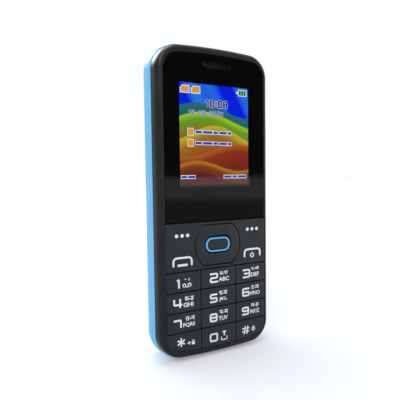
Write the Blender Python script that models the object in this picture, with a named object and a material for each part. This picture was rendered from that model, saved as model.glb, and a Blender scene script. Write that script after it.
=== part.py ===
"""Bar phone with large flush keys, standing upright on its lower end.

Metres, +Z up. The display and the keys face -Y, and +X is on the right of someone who looks at
the display. The origin is below the middle of the phone, on the surface that it stands on.
Depths are measured from the front face backwards, and an inset is measured inwards from the
widest outline of the phone.
"""

import math

import bmesh
import bpy
from mathutils import Vector

MM = 0.001

# Clearances and the fineness of curves
gap = 0.3 * MM
cut_overrun = 2.0 * MM
least_radius = 0.15 * MM
merge_share = 0.001
sharp_angle = 30
corner_steps = 6
edge_steps = 6
small_corner_steps = 4
key_corner_steps = 3
round_sides = 20
small_round_sides = 10
dome_sides = 8

# Field that the window and the keys share, and the rim round it
field_width = 41.3 * MM
field_corner = 5.0 * MM
rim_land = 0.1 * MM
rim_round = 1.9 * MM
rim_round_depth = 3.8 * MM
side_lean = 0.2 * MM
trim_bulge = 0.6 * MM
corner_radius = 8.8 * MM
edge_arch = 1.2 * MM
window_arch = 1.3 * MM
keypad_arch = 1.4 * MM
foot_flat = 0.25 * MM

# Keys, from the lower end upwards
keypad_margin = 3.5 * MM
last_row_height = 7.4 * MM
row_pitch = 7.2 * MM
number_rows = 3
function_height = 17.3 * MM
middle_key_width = 14.75 * MM
key_seam = 0.36 * MM
key_thickness = 1.2 * MM
key_edge = 0.22 * MM
key_edge_middle_share = 1 - math.sqrt(0.5)
key_corner = 0.45 * MM
tactile_dot_radius = 0.32 * MM
tactile_dot_height = 0.25 * MM
tactile_dot_inset = 1.35 * MM

# Navigation pad and the key in its middle
navigation_radius = 9.3 * MM
navigation_rim = 1.4 * MM
navigation_thickness = 1.0 * MM
navigation_seam = 0.35 * MM
ok_hole_width = 11.0 * MM
ok_hole_height = 6.3 * MM
ok_corner = 2.2 * MM
ok_ring_wall = 0.85 * MM
ok_ring_slope_share = 0.25
ok_ring_thickness = 0.75 * MM
ok_proud = 0.15 * MM
ok_flange_thickness = 0.5 * MM
plunger_radius = 1.4 * MM
web_wall = 1.5 * MM
web_floor = 0.4 * MM
ok_travel_room = 0.6 * MM

# Window, display and earpiece, from the keys upwards
window_thickness = 1.0 * MM
window_edge = 0.15 * MM
display_margin = 9.0 * MM
display_width = 34.0 * MM
display_height = 42.5 * MM
display_wall = 0.6 * MM
panel_thickness = 1.3 * MM
earpiece_margin = 3.2 * MM
earpiece_slot_width = 11.2 * MM
earpiece_slot_height = 1.9 * MM
earpiece_width = 15.0 * MM
earpiece_height = 6.0 * MM
earpiece_depth = 2.4 * MM
mesh_thickness = 0.4 * MM
mesh_setback = 0.3 * MM
window_top_margin = 2.7 * MM
housing_top_margin = 3.9 * MM

# Depth of the layers, from the front face backwards
mat_thickness = 0.6 * MM
ledge_thickness = 0.6 * MM
dome_clearance = 0.2 * MM
dome_height = 0.4 * MM
dome_radius = 2.1 * MM
dome_crown_share = 0.5
small_dome_share = 0.85
dome_sheet_thickness = 0.2 * MM
board_thickness = 1.0 * MM
shield_height = 1.4 * MM
shield_wall = 0.3 * MM
shield_length = 13.4 * MM
bay_floor_thickness = 0.6 * MM
battery_thickness = 5.3 * MM
cover_wall = 1.3 * MM

# Shells
front_wall = 1.3 * MM
lip_wall = 0.8 * MM
trim_wall = 1.55 * MM
trim_depth = 4.5 * MM
trim_crest = 2.6 * MM
trim_front_inset = 0.52 * MM
trim_back_inset = 0.2 * MM
cover_inset = 0.3 * MM
cover_round = 4.3 * MM
cover_side_wall = 1.2 * MM
chassis_round = 3.2 * MM

# Screws
boss_radius = 1.9 * MM
boss_length = 3.3 * MM
screw_radius = 0.7 * MM
screw_head_radius = 1.4 * MM
screw_head_height = 1.2 * MM
screw_crown_share = 0.7
screw_slot = 0.5 * MM
screw_seat_depth = 10.0 * MM
low_screw_margin = 7.5 * MM
top_screw_margin = 9.6 * MM

# Battery and what lies round it
battery_width = 34.0 * MM
battery_height = 53.0 * MM
battery_corner = 2.0 * MM
battery_foot = 15.0 * MM
battery_edge = 0.5 * MM
contact_width = 9.0 * MM
contact_height = 3.4 * MM
contact_count = 3
contact_pitch = 2.6 * MM
contact_finger = 1.2 * MM
contact_reach = 1.0 * MM
sim_width = 15.4 * MM
sim_height = 19.0 * MM
sim_thickness = 1.9 * MM
sim_wall = 0.5 * MM
sim_hatch_side = 2.0 * MM
sim_hatch_end = 4.0 * MM
sim_margin = 4.0 * MM
card_width = 15.0 * MM
card_height = 14.0 * MM
card_thickness = 1.6 * MM
card_margin = 5.0 * MM

# Sockets, torch, speaker and motor at the top end
socket_reach = 1.4 * MM
jack_width = 6.4 * MM
jack_length = 12.0 * MM
jack_depth = 5.4 * MM
jack_bore = 1.8 * MM
jack_wall = 0.4 * MM
jack_place = 12.0 * MM
usb_width = 7.8 * MM
usb_length = 5.8 * MM
usb_depth = 2.9 * MM
usb_lift = 0.6 * MM
usb_wall = 0.35 * MM
usb_tongue = 0.6 * MM
usb_place = 11.5 * MM
torch_radius = 1.3 * MM
torch_flange = 1.9 * MM
torch_lens_length = 1.6 * MM
torch_crown_share = 0.6
torch_led_size = 2.8 * MM
torch_led_length = 2.2 * MM
speaker_radius = 7.6 * MM
speaker_depth = 3.6 * MM
speaker_rim = 1.1 * MM
speaker_cone = 1.0 * MM
speaker_margin = 14.5 * MM
speaker_place = 6.5 * MM
grille_slot_length = 9.0 * MM
grille_slot_width = 0.9 * MM
grille_pitch = 1.9 * MM
grille_slots = 5
motor_radius = 2.0 * MM
motor_length = 8.0 * MM
motor_shaft = 0.4 * MM
weight_radius = 2.3 * MM
weight_length = 3.0 * MM
motor_margin = 12.4 * MM
motor_place = 12.5 * MM

# Lower end
antenna_width = 30.0 * MM
antenna_height = 6.5 * MM
antenna_thickness = 0.3 * MM
antenna_slot = 1.0 * MM
antenna_slots = 5
antenna_margin = 4.6 * MM
microphone_radius = 2.0 * MM
microphone_length = 1.5 * MM
microphone_hole = 0.5 * MM
chip_count = 3
chip_size = 5.0 * MM
chip_height = 0.6 * MM
chip_pitch = 8.0 * MM

# Widths that follow
field_half = field_width / 2
land_half = field_half + gap + rim_land
side_half = land_half + rim_round
phone_half = side_half + side_lean + trim_bulge
land_inset = phone_half - land_half
side_inset = phone_half - side_half
rim_inset = side_inset - side_lean
middle_half = middle_key_width / 2
side_key_half = (field_half - middle_half) / 2
side_column = middle_half + side_key_half

# Heights that follow
number_foot = keypad_margin + last_row_height
number_top = number_foot + number_rows * row_pitch
divide = number_top + function_height
function_middle = number_top + function_height / 2
display_foot = divide + display_margin
display_top = display_foot + display_height
earpiece_place = display_top + earpiece_margin + earpiece_slot_height / 2
window_top = earpiece_place + earpiece_slot_height / 2 + window_top_margin
phone_height = window_top + housing_top_margin
battery_top = battery_foot + battery_height
navigation_half = function_height / 2 - navigation_rim

# Depths that follow
window_ledge = window_thickness + gap
mat_front = key_thickness + gap
mat_back = mat_front + mat_thickness
keypad_ledge = mat_back + gap
front_wall_back = keypad_ledge + ledge_thickness
dome_top = front_wall_back + dome_clearance
nub_end = dome_top - gap
dome_front = dome_top + dome_height
dome_back = dome_front + dome_sheet_thickness
board_front = dome_back + gap
board_back = board_front + board_thickness
rim_depth = board_back
parts_front = board_back + gap
usb_front = parts_front + usb_lift
receiver_front = front_wall_back + gap
torch_depth = receiver_front + earpiece_depth + gap + torch_flange
trim_front = rim_depth + gap
trim_back = trim_front + trim_depth
cover_front = trim_back + gap
shield_back = parts_front + shield_height
floor_front = shield_back + gap
floor_back = floor_front + bay_floor_thickness
battery_front = floor_back + gap
battery_back = battery_front + battery_thickness
cover_inside = battery_back + gap
phone_depth = cover_inside + cover_wall
chassis_back = cover_inside - gap

# Insets of the shells
front_inside = rim_inset + front_wall + side_lean
lip_outside = front_inside + gap
lip_inside = lip_outside + lip_wall
lip_front = board_front - gap
trim_inside = trim_wall
shoulder = trim_inside + gap
board_inset = lip_inside + gap
cover_side_inside = cover_inset + cover_side_wall
screw_column = phone_half - board_inset - boss_radius
low_screws = keypad_margin + low_screw_margin
top_screws = phone_height - top_screw_margin
boss_end = board_back + boss_length - board_thickness
keypad_opening_half = screw_column - boss_radius - gap


def level(_):
    """Rise of an edge that is straight."""
    return 0


def arch_up(x):
    """Rise of the lower edges of the phone, which sag towards the middle."""
    return edge_arch * (x / phone_half) ** 2


def arch_down(x):
    """Rise of the upper edges of the phone, which crown towards the middle."""
    return -edge_arch * (x / phone_half) ** 2


def keypad_rise(x):
    """Rise of the lower edge of the keypad, which sags a little more than the phone's end."""
    return keypad_arch * (x / field_half) ** 2


def window_rise(x):
    """Rise of the upper edge of the window, which crowns a little more than the phone's end."""
    return -window_arch * (x / field_half) ** 2


def panel(left, right, foot, top, radii, inset=0, foot_rise=level, top_rise=level, steps=corner_steps):
    """Outline of a panel with four round corners, anticlockwise from its right side.

    The radii are those of the top right, top left, low left and low right corners.
    """
    left, right = left + inset, right - inset
    foot, top = foot + inset, top - inset
    spread = min(steps, edge_steps)
    corners = ((right, top, -1, -1), (left, top, 1, -1), (left, foot, 1, 1), (right, foot, -1, 1))
    points = []
    for index, (x, z, inward_x, inward_z) in enumerate(corners):
        radius = max(radii[index] - inset, least_radius)
        centre_x = x + inward_x * radius
        centre_z = z + inward_z * radius
        rise = top_rise if index < 2 else foot_rise
        start = index * math.pi / 2
        for step in range(steps + 1):
            angle = start + step / steps * math.pi / 2
            px = centre_x + radius * math.cos(angle)
            pz = centre_z + radius * math.sin(angle)
            points.append((px, pz + rise(px)))
        if index in (0, 2):
            next_radius = max(radii[index + 1] - inset, least_radius)
            far_x = corners[index + 1][0] + corners[index + 1][2] * next_radius
            for step in range(1, spread):
                px = centre_x + (far_x - centre_x) * step / spread
                points.append((px, z + rise(px)))
    return points


def phone_outline(inset):
    """Outline of the phone itself; it is cut flat at the foot, where it stands."""
    radii = (corner_radius,) * 4
    return panel(-phone_half, phone_half, -foot_flat, phone_height, radii, inset, arch_up, arch_down)


def circle(x, z, radius, sides=round_sides):
    """Round outline about a point of the front view."""
    turn = 2 * math.pi / sides
    return [(x + radius * math.cos(i * turn), z + radius * math.sin(i * turn)) for i in range(sides)]


def quarter(from_inset, to_inset, from_depth, to_depth, steps, flat_first):
    """Insets and depths along a quarter ellipse, which starts flat on the face or along the side."""
    rings = []
    for step in range(1, steps + 1):
        angle = step / steps * math.pi / 2
        along, across = math.sin(angle), 1 - math.cos(angle)
        if flat_first:
            along, across = across, along
        inset = from_inset + (to_inset - from_inset) * across
        rings.append((inset, from_depth + (to_depth - from_depth) * along))
    return rings


def material(name, colour, roughness, metallic=0.0):
    made = bpy.data.materials.new(name)
    made.use_nodes = True
    shader = made.node_tree.nodes["Principled BSDF"]
    shader.inputs["Base Color"].default_value = (*colour, 1.0)
    shader.inputs["Roughness"].default_value = roughness
    shader.inputs["Metallic"].default_value = metallic
    made.diffuse_color = (*colour, 1.0)
    return made


def loft(name, rings, finish=None, origin=(0, 0, 0), hollow=False, axis="Y"):
    """One closed body through rings of points, each given as an outline and a depth or height.

    Along Y a ring lies in the front view at a depth from the front face. Along Z it lies in plan
    at a height, and along X in the side view at a place across the phone. A hollow body joins its
    last ring to its first and has no end faces.
    """
    mesh = bmesh.new()
    start = Vector(origin)
    loops = []
    for points, along in rings:
        loop = []
        for first, second in points:
            if axis == "Y":
                place = Vector((first, y_at(along), second))
            elif axis == "Z":
                place = Vector((first, second, along))
            else:
                place = Vector((along, first, second))
            loop.append(mesh.verts.new(place - start))
        loops.append(loop)
    if hollow:
        loops.append(loops[0])
    for near, far in zip(loops, loops[1:]):
        for i in range(len(near)):
            j = (i + 1) % len(near)
            mesh.faces.new((near[i], near[j], far[j], far[i]))
    if not hollow:
        mesh.faces.new(loops[0])
        mesh.faces.new(loops[-1])
    bmesh.ops.remove_doubles(mesh, verts=mesh.verts, dist=gap * merge_share)
    bmesh.ops.recalc_face_normals(mesh, faces=mesh.faces)
    data = bpy.data.meshes.new(name)
    mesh.to_mesh(data)
    mesh.free()
    data.shade_smooth()
    data.set_sharp_from_angle(angle=math.radians(sharp_angle))
    made = bpy.data.objects.new(name, data)
    made.location = start
    bpy.context.scene.collection.objects.link(made)
    if finish:
        data.materials.append(finish)
    return made


def prism(name, points, front, back, finish=None, origin=(0, 0, 0), axis="Y"):
    return loft(name, [(points, front), (points, back)], finish, origin, axis=axis)


def rectangle(left, right, foot, top):
    return [(right, top), (left, top), (left, foot), (right, foot)]


def boolean(target, tool, operation):
    """Cuts the tool out of the target, or joins it on; the tool itself is only a guide."""
    change = target.modifiers.new(tool.name, "BOOLEAN")
    change.operation = operation
    change.object = tool
    tool.hide_render = True
    tool.display_type = "WIRE"


def cut(target, tool):
    boolean(target, tool, "DIFFERENCE")


def join(target, tool):
    boolean(target, tool, "UNION")


def y_at(depth):
    """World Y of a depth from the front face; the key dots stand a little in front of that face."""
    return depth - (phone_depth - tactile_dot_height) / 2


def window_shape(foot, inset=0):
    """Outline of the window from a level foot to its arched top."""
    radii = (field_corner, field_corner, least_radius, least_radius)
    return panel(-field_half, field_half, foot, window_top, radii, inset, level, window_rise)


def keypad_shape(top, radius, inset=0):
    """Outline of the keypad from its arched foot to a level top, with a radius for the top corners."""
    radii = (radius, radius, field_corner, field_corner)
    return panel(-field_half, field_half, keypad_margin, top, radii, inset, keypad_rise)


# Finishes
satin_black = material("satin_black", (0.022, 0.024, 0.028), 0.36)
gloss_black = material("gloss_black", (0.004, 0.004, 0.005), 0.06)
key_black = material("key_black", (0.031, 0.034, 0.037), 0.42)
bright_blue = material("bright_blue", (0.10, 0.42, 0.88), 0.30)
ring_blue = material("ring_blue", (0.16, 0.50, 0.90), 0.30)
display_glass = material("display_glass", (0.02, 0.10, 0.45), 0.15)
silicone = material("silicone", (0.55, 0.55, 0.53), 0.7)
board_green = material("board_green", (0.02, 0.16, 0.07), 0.5)
metal = material("metal", (0.62, 0.63, 0.65), 0.35, 1.0)
steel = material("steel", (0.42, 0.43, 0.45), 0.35, 1.0)
gold = material("gold", (0.80, 0.58, 0.22), 0.3, 1.0)
dark_plastic = material("dark_plastic", (0.03, 0.03, 0.032), 0.55)
battery_label = material("battery_label", (0.60, 0.62, 0.64), 0.45)
clear_plastic = material("clear_plastic", (0.85, 0.88, 0.90), 0.08)
led_yellow = material("led_yellow", (0.90, 0.78, 0.30), 0.4)
mesh_grey = material("mesh_grey", (0.05, 0.05, 0.055), 0.5, 0.5)


def front_housing():
    """Front shell: a round-edged rim, the recess for the window and keys, and four screw bosses."""
    rings = [(phone_outline(land_inset), 0)]
    for inset, depth in quarter(land_inset, side_inset, 0, rim_round_depth, edge_steps, True):
        rings.append((phone_outline(inset), depth))
    rings.append((phone_outline(rim_inset), rim_depth))
    rings.append((phone_outline(front_inside), rim_depth))
    rings.append((phone_outline(front_inside), front_wall_back))
    shell = loft("front_housing", rings, satin_black)
    cut(shell, prism("window_room", window_shape(divide, -gap), -cut_overrun, window_ledge))
    key_room = keypad_shape(divide, least_radius, -gap)
    cut(shell, prism("key_room", key_room, -cut_overrun, keypad_ledge))
    opening = panel(
        -keypad_opening_half,
        keypad_opening_half,
        keypad_margin + last_row_height / 4,
        divide - row_pitch / 4,
        (key_corner,) * 4,
        steps=key_corner_steps,
    )
    cut(shell, prism("key_opening", opening, 0, front_wall_back + cut_overrun))
    half = display_width / 2 + gap
    display_opening = rectangle(-half, half, display_foot - gap, display_top + gap)
    cut(shell, prism("display_opening", display_opening, 0, front_wall_back + cut_overrun))
    cut(shell, prism("earpiece_port", earpiece_slot(0), 0, front_wall_back + cut_overrun))
    for index, (x, z) in enumerate(screw_places()):
        boss = prism(f"boss_{index + 1}", circle(x, z, boss_radius), front_wall_back - rim_land, boss_end)
        join(shell, boss)
        hole = circle(x, z, screw_radius + gap, small_round_sides)
        cut(shell, prism(f"boss_hole_{index + 1}", hole, front_wall_back, boss_end + cut_overrun))


def screw_places():
    return [(side * screw_column, z) for z in (low_screws, top_screws) for side in (-1, 1)]


def earpiece_slot(inset):
    """Round-ended slot of the earpiece."""
    half = earpiece_slot_width / 2
    foot = earpiece_place - earpiece_slot_height / 2
    top = earpiece_place + earpiece_slot_height / 2
    radii = (earpiece_slot_height / 2,) * 4
    return panel(-half, half, foot, top, radii, inset, steps=small_corner_steps)


def display_window():
    """Clear pane over the display, with the earpiece slot through it."""
    foot = divide + key_seam / 2
    rings = [
        (window_shape(foot, window_edge), 0),
        (window_shape(foot), window_edge),
        (window_shape(foot), window_thickness),
    ]
    pane = loft("display_window", rings, gloss_black)
    cut(pane, prism("window_slot", earpiece_slot(0), -cut_overrun, window_thickness + cut_overrun))


def earpiece():
    """Mesh in the slot of the window, and the receiver behind the front wall."""
    prism("earpiece_mesh", earpiece_slot(gap), mesh_setback, mesh_setback + mesh_thickness, mesh_grey)
    half = earpiece_width / 2
    foot = earpiece_place - earpiece_height / 2
    top = earpiece_place + earpiece_height / 2
    back = receiver_front + earpiece_depth
    body = panel(-half, half, foot, top, (earpiece_height / 4,) * 4, steps=small_corner_steps)
    receiver = prism("earpiece_speaker", body, receiver_front, back, metal)
    vent_floor = receiver_front + mesh_thickness
    cut(receiver, prism("receiver_vent", earpiece_slot(gap), receiver_front - cut_overrun, vent_floor))


def tray(name, outside, inside, mouth, floor_inner, floor_outer, finish, origin=(0, 0, 0)):
    """Open box: outer outline from mouth to floor, inner outline back to the mouth."""
    rings = [(inside, floor_inner), (inside, mouth), (outside, mouth), (outside, floor_outer)]
    return loft(name, rings, finish, origin)


def display():
    """Liquid crystal panel in the tray of its backlight, right behind the window."""
    half = display_width / 2
    front = window_ledge + gap
    outside = rectangle(-half, half, display_foot, display_top)
    low, high = display_foot + display_wall, display_top - display_wall
    inside = rectangle(-half + display_wall, half - display_wall, low, high)
    panel_back = front + panel_thickness
    frame_back = board_front - gap
    tray("lcd_frame", outside, inside, front, panel_back + gap, frame_back, metal)
    edge = half - display_wall - gap
    glass = rectangle(-edge, edge, low + gap, high - gap)
    prism("lcd_panel", glass, front, panel_back, display_glass)


def keycap(name, shape, front, thickness, finish, origin=(0, 0, 0)):
    """Key cap with a round front edge; the shape gives its outline at an inset."""
    middle = key_edge * key_edge_middle_share
    rings = [
        (shape(key_edge), front),
        (shape(middle), front + middle),
        (shape(0), front + key_edge),
        (shape(0), front + thickness),
    ]
    return loft(name, rings, finish, origin)


def number_keys():
    """Twelve flush keys in four rows; the outer keys of the last row follow the round corners."""
    names = ("1", "2", "3", "4", "5", "6", "7", "8", "9", "star", "0", "hash")
    half_seam = key_seam / 2
    for index, label in enumerate(names):
        row, column = divmod(index, 3)
        last = row == number_rows
        top = number_top - row * row_pitch - half_seam
        foot = keypad_margin if last else top - row_pitch + key_seam
        left = (-field_half, -middle_half + half_seam, middle_half + half_seam)[column]
        right = (-middle_half - half_seam, middle_half - half_seam, field_half)[column]
        low_left = field_corner if last and column == 0 else key_corner
        low_right = field_corner if last and column == 2 else key_corner
        radii = (key_corner, key_corner, low_left, low_right)
        rise = keypad_rise if last else level
        steps = corner_steps if last else key_corner_steps

        def shape(inset, box=(left, right, foot, top), radii=radii, rise=rise, steps=steps):
            return panel(*box, radii, inset, rise, steps=steps)

        centre = ((left + right) / 2, y_at(0), (foot + top) / 2)
        cap = keycap(f"key_{label}", shape, 0, key_thickness, key_black, centre)
        if label == "5":
            for side, x in (("left", left + tactile_dot_inset), ("right", right - tactile_dot_inset)):
                join(cap, tactile_dot(f"dot_{side}", x, (foot + top) / 2))


def tactile_dot(name, x, z):
    rings = [(circle(x, z, tactile_dot_radius, small_round_sides), key_edge)]
    rings.append((circle(x, z, tactile_dot_radius, small_round_sides), 0))
    rings.append((circle(x, z, tactile_dot_radius / 2, small_round_sides), -tactile_dot_height))
    return loft(name, rings)


def navigation_shape(inset):
    """Circle cut flat at the top and at the foot, where it is taller than its room."""
    radius = navigation_radius - inset
    reach = math.asin(min(1, (navigation_half - inset) / radius))
    points = []
    for start in (-reach, math.pi - reach):
        for step in range(2 * corner_steps + 1):
            angle = start + step / (2 * corner_steps) * 2 * reach
            points.append((radius * math.cos(angle), function_middle + radius * math.sin(angle)))
    return points


def ok_shape(inset):
    """Outline of the hole in the navigation pad, and of what fills it, at an inset."""
    half_width, half_height = ok_hole_width / 2, ok_hole_height / 2
    radius = ok_corner + gap
    foot, top = function_middle - half_height, function_middle + half_height
    return panel(-half_width, half_width, foot, top, (radius,) * 4, inset)


def function_keys():
    """One plate that carries the two soft keys and the two call keys, round the navigation pad."""
    radii = (key_corner,) * 4

    def shape(inset):
        foot, top = number_top + key_seam / 2, divide - key_seam / 2
        return panel(-field_half, field_half, foot, top, radii, inset, steps=key_corner_steps)

    middle = (0, y_at(key_thickness), function_middle)
    plate = keycap("function_plate", shape, 0, key_thickness, key_black, middle)
    hole = navigation_shape(-navigation_seam)
    cut(plate, prism("plate_hole", hole, -cut_overrun, key_thickness + cut_overrun))
    half = field_half - gap
    foot, top = number_top + gap, divide - gap
    sheet = panel(-half, half, foot, top, radii, steps=key_corner_steps)
    web = prism("function_web", sheet, mat_front, mat_back, silicone, middle)
    cut(web, prism("web_room", ok_shape(-gap - web_wall - gap), 0, mat_back + cut_overrun))
    for index, (x, z) in enumerate(function_places()):
        nub = circle(x, z, plunger_radius, small_round_sides)
        join(web, prism(f"function_nub_{index + 1}", nub, mat_back - mat_thickness / 2, nub_end))


def function_places():
    """Middles of the two soft keys and the two call keys."""
    rise = function_height / 4
    return [(sx * side_column, function_middle + sz * rise) for sz in (1, -1) for sx in (-1, 1)]


def navigation():
    """Rocking pad on its silicone seat, with the pressed key and its ring in the middle."""
    middle = (0, y_at(navigation_thickness), function_middle)
    pad = keycap("navigation_key", navigation_shape, 0, navigation_thickness, key_black, middle)
    cut(pad, prism("pad_hole", ok_shape(0), -cut_overrun, navigation_thickness + cut_overrun))
    seat_front = navigation_thickness + gap
    flange_front = ok_ring_thickness - ok_proud + gap
    flange_back = flange_front + ok_flange_thickness
    floor_inner = flange_back + ok_travel_room
    floor_outer = floor_inner + web_floor
    outside, inside = ok_shape(-gap - web_wall), ok_shape(-gap)
    seat = tray("navigation_seat", outside, inside, seat_front, floor_inner, floor_outer, silicone, middle)
    passage = circle(0, function_middle, plunger_radius + gap)
    cut(seat, prism("plunger_passage", passage, 0, floor_outer + cut_overrun))
    slope = ok_ring_wall * ok_ring_slope_share
    ring_inner = gap + ok_ring_wall
    ring_rings = [
        (ok_shape(gap), flange_front - gap),
        (ok_shape(gap), 0),
        (ok_shape(gap + slope), -ok_proud),
        (ok_shape(ring_inner - slope), -ok_proud),
        (ok_shape(ring_inner), 0),
        (ok_shape(ring_inner), flange_front - gap),
    ]
    loft("ok_key_ring", ring_rings, ring_blue, middle, hollow=True)
    cap_inset = ring_inner + gap
    cap_rings = [
        (ok_shape(cap_inset + key_edge), 0),
        (ok_shape(cap_inset), key_edge),
        (ok_shape(cap_inset), flange_front),
        (ok_shape(gap), flange_front),
        (ok_shape(gap), flange_back),
    ]
    cap = loft("ok_key", cap_rings, key_black, middle)
    plunger = circle(0, function_middle, plunger_radius)
    join(cap, prism("ok_plunger", plunger, flange_back - ok_flange_thickness / 2, nub_end))


def number_places():
    """Middles of the twelve number keys."""
    places = []
    for row in range(number_rows + 1):
        top = number_top - row * row_pitch
        foot = keypad_margin if row == number_rows else top - row_pitch
        for side in (-1, 0, 1):
            places.append((side * side_column, (top + foot) / 2))
    return places


def keypad_mat():
    """Silicone sheet under the number keys, with a plunger for each key."""
    outline = keypad_shape(number_top - gap, key_corner, gap)
    sheet = prism("keypad_mat", outline, mat_front, mat_back, silicone)
    for index, (x, z) in enumerate(number_places()):
        nub = circle(x, z, plunger_radius, small_round_sides)
        join(sheet, prism(f"number_nub_{index + 1}", nub, mat_back - mat_thickness / 2, nub_end))


def dome_places():
    """One snap dome under each key, and five under the navigation pad."""
    reach = navigation_half - plunger_radius
    places = [(0, function_middle), (0, function_middle - reach), (0, function_middle + reach)]
    side = navigation_radius - plunger_radius
    places += [(-side, function_middle), (side, function_middle)]
    return number_places() + function_places() + places


def dome_sheet():
    """Film with the snap domes, stuck to the board."""
    half = keypad_opening_half
    foot = number_places()[-1][1] - dome_radius - gap
    top = function_places()[0][1] + dome_radius + gap
    outline = panel(-half, half, foot, top, (key_corner,) * 4, steps=key_corner_steps)
    film = prism("dome_sheet", outline, dome_front, dome_back, steel)
    for index, (x, z) in enumerate(dome_places()):
        radius = dome_radius * (small_dome_share if index >= len(number_places()) else 1)
        rings = [
            (circle(x, z, radius, dome_sides), dome_back - dome_sheet_thickness / 2),
            (circle(x, z, radius, dome_sides), dome_front),
            (circle(x, z, radius * dome_crown_share, dome_sides), dome_top),
        ]
        join(film, loft(f"dome_{index + 1}", rings))


def main_board():
    """Circuit board, cut out for the receiver, the jack and the screw bosses, with its chips."""
    board = prism("main_board", phone_outline(board_inset), board_front, board_back, board_green)
    for index, (x, z) in enumerate(screw_places()):
        cut(board, prism(f"board_hole_{index + 1}", circle(x, z, boss_radius + gap), 0, boss_end))
    half = earpiece_width / 2 + gap
    low, high = earpiece_place - earpiece_height / 2 - gap, earpiece_place + earpiece_height / 2 + gap
    cut(board, prism("receiver_room", rectangle(-half, half, low, high), 0, boss_end))
    foot = microphone_height() + microphone_radius + gap
    buried = board_front + board_thickness / 2
    for index in range(chip_count):
        x = (index - (chip_count - 1) / 2) * chip_pitch
        outline = rectangle(x - chip_size / 2, x + chip_size / 2, foot, foot + chip_size)
        join(board, prism(f"chip_{index + 1}", outline, buried, board_back + chip_height))


def shields():
    """Two metal cans over the circuits between the battery and the speaker."""
    foot = battery_top + contact_height + 2 * gap
    top = foot + shield_length
    for name, left, right in (("cpu_shield", -side_column, -gap), ("rf_shield", gap, side_column)):
        outside = rectangle(left, right, foot, top)
        inside = rectangle(left + shield_wall, right - shield_wall, foot + shield_wall, top - shield_wall)
        tray(name, outside, inside, parts_front, shield_back - shield_wall, shield_back, metal)


def rear_housing():
    """Middle chassis: it carries the board in front, and the battery in the bay behind."""
    rings = [(phone_outline(lip_outside), lip_front), (phone_outline(lip_outside), trim_front)]
    rings.append((phone_outline(shoulder), trim_front))
    rings.append((phone_outline(shoulder), cover_front))
    deepest = shoulder + chassis_round
    for inset, depth in quarter(shoulder, deepest, cover_front, chassis_back, edge_steps, False):
        rings.append((phone_outline(inset), depth))
    chassis = loft("rear_housing", rings, dark_plastic)
    cut(chassis, prism("board_room", phone_outline(lip_inside), 0, floor_front))
    cut(chassis, prism("battery_room", battery_shape(-gap), floor_back, phone_depth))
    for index, room in enumerate(floor_rooms()):
        cut(chassis, prism(f"floor_room_{index + 1}", room, 0, floor_back + gap))
    for index, (x, z) in enumerate(screw_places()):
        hole = circle(x, z, screw_radius + gap, small_round_sides)
        cut(chassis, prism(f"screw_hole_{index + 1}", hole, 0, phone_depth))
        seat = circle(x, z, screw_head_radius + gap, small_round_sides)
        cut(chassis, prism(f"screw_seat_{index + 1}", seat, screw_seat_depth, phone_depth))
        clear = circle(x, z, boss_radius + gap)
        cut(chassis, prism(f"boss_room_{index + 1}", clear, 0, boss_end + gap))
    speaker = circle(-speaker_place, speaker_height(), speaker_radius + gap)
    cut(chassis, prism("speaker_room", speaker, speaker_front() - gap, phone_depth))
    cut_top_rooms(chassis)
    cut(chassis, microphone_port(-cut_overrun, lip_inside + gap))
    half = antenna_width / 2 + gap
    foot, top = antenna_margin - gap, antenna_margin + antenna_height + gap
    room = rectangle(-half, half, foot, top)
    cut(chassis, prism("antenna_room", room, chassis_back - antenna_thickness - gap, phone_depth))
    return chassis


def floor_rooms():
    """Openings in the bay floor, where the card sockets reach through."""
    left, _, foot, top = sim_boxes()[0]
    right = sim_boxes()[1][1]
    return [grown((left, right, foot, top)), grown(card_box())]


def grown(box):
    """Rectangle with a clearance all round a box."""
    left, right, foot, top = box
    return rectangle(left - gap, right + gap, foot - gap, top + gap)


def sim_boxes():
    """Left, right, foot and top of the two card sockets, side by side."""
    foot = battery_foot + sim_margin
    return [(side, side + sim_width, foot, foot + sim_height) for side in (-gap - sim_width, gap)]


def card_box():
    """Left, right, foot and top of the memory card socket."""
    foot = battery_foot + sim_margin + sim_height + card_margin
    return (-card_width / 2, card_width / 2, foot, foot + card_height)


def cut_top_rooms(chassis):
    """Rooms for the jack, the charging socket, the torch, the motor and the battery contacts."""
    top = phone_height + cut_overrun
    half = jack_width / 2
    jack = grown((-jack_place - half, -jack_place + half, jack_foot(), jack_top()))
    cut(chassis, prism("jack_room", jack, 0, parts_front + jack_depth + gap))
    mouth = circle(-jack_place, y_at(jack_middle()), jack_bore)
    cut(chassis, prism("jack_mouth", mouth, jack_foot(), top, axis="Z"))
    half = usb_width / 2 + gap
    usb = rectangle(usb_place - half, usb_place + half, usb_foot() - gap, top)
    cut(chassis, prism("usb_room", usb, 0, usb_front + usb_depth + gap))
    low, high = torch_foot() - torch_led_length, torch_foot() + torch_lens_length
    torch = grown((-torch_flange, torch_flange, low, high))
    cut(chassis, prism("torch_room", torch, 0, torch_depth + torch_flange + gap))
    beam = circle(0, y_at(torch_depth), torch_radius + gap)
    cut(chassis, prism("torch_mouth", beam, torch_foot(), top, axis="Z"))
    left = motor_place - motor_length / 2 - gap - weight_length
    right = motor_place + motor_length / 2
    low, high = motor_height() - weight_radius, motor_height() + weight_radius
    cut(chassis, prism("motor_room", grown((left, right, low, high)), 0, motor_depth() + weight_radius + gap))
    half = contact_width / 2 + gap
    contacts = rectangle(-half, half, battery_top, battery_top + contact_height + gap)
    cut(chassis, prism("contact_room", contacts, 0, phone_depth))


def jack_top():
    return phone_height - shoulder - socket_reach


def jack_foot():
    return jack_top() - jack_length


def jack_middle():
    return parts_front + jack_wall + jack_bore


def usb_foot():
    return phone_height - trim_wall - socket_reach - usb_length


def torch_foot():
    return phone_height - shoulder - socket_reach - torch_lens_length


def speaker_height():
    return top_screws - speaker_margin


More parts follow.
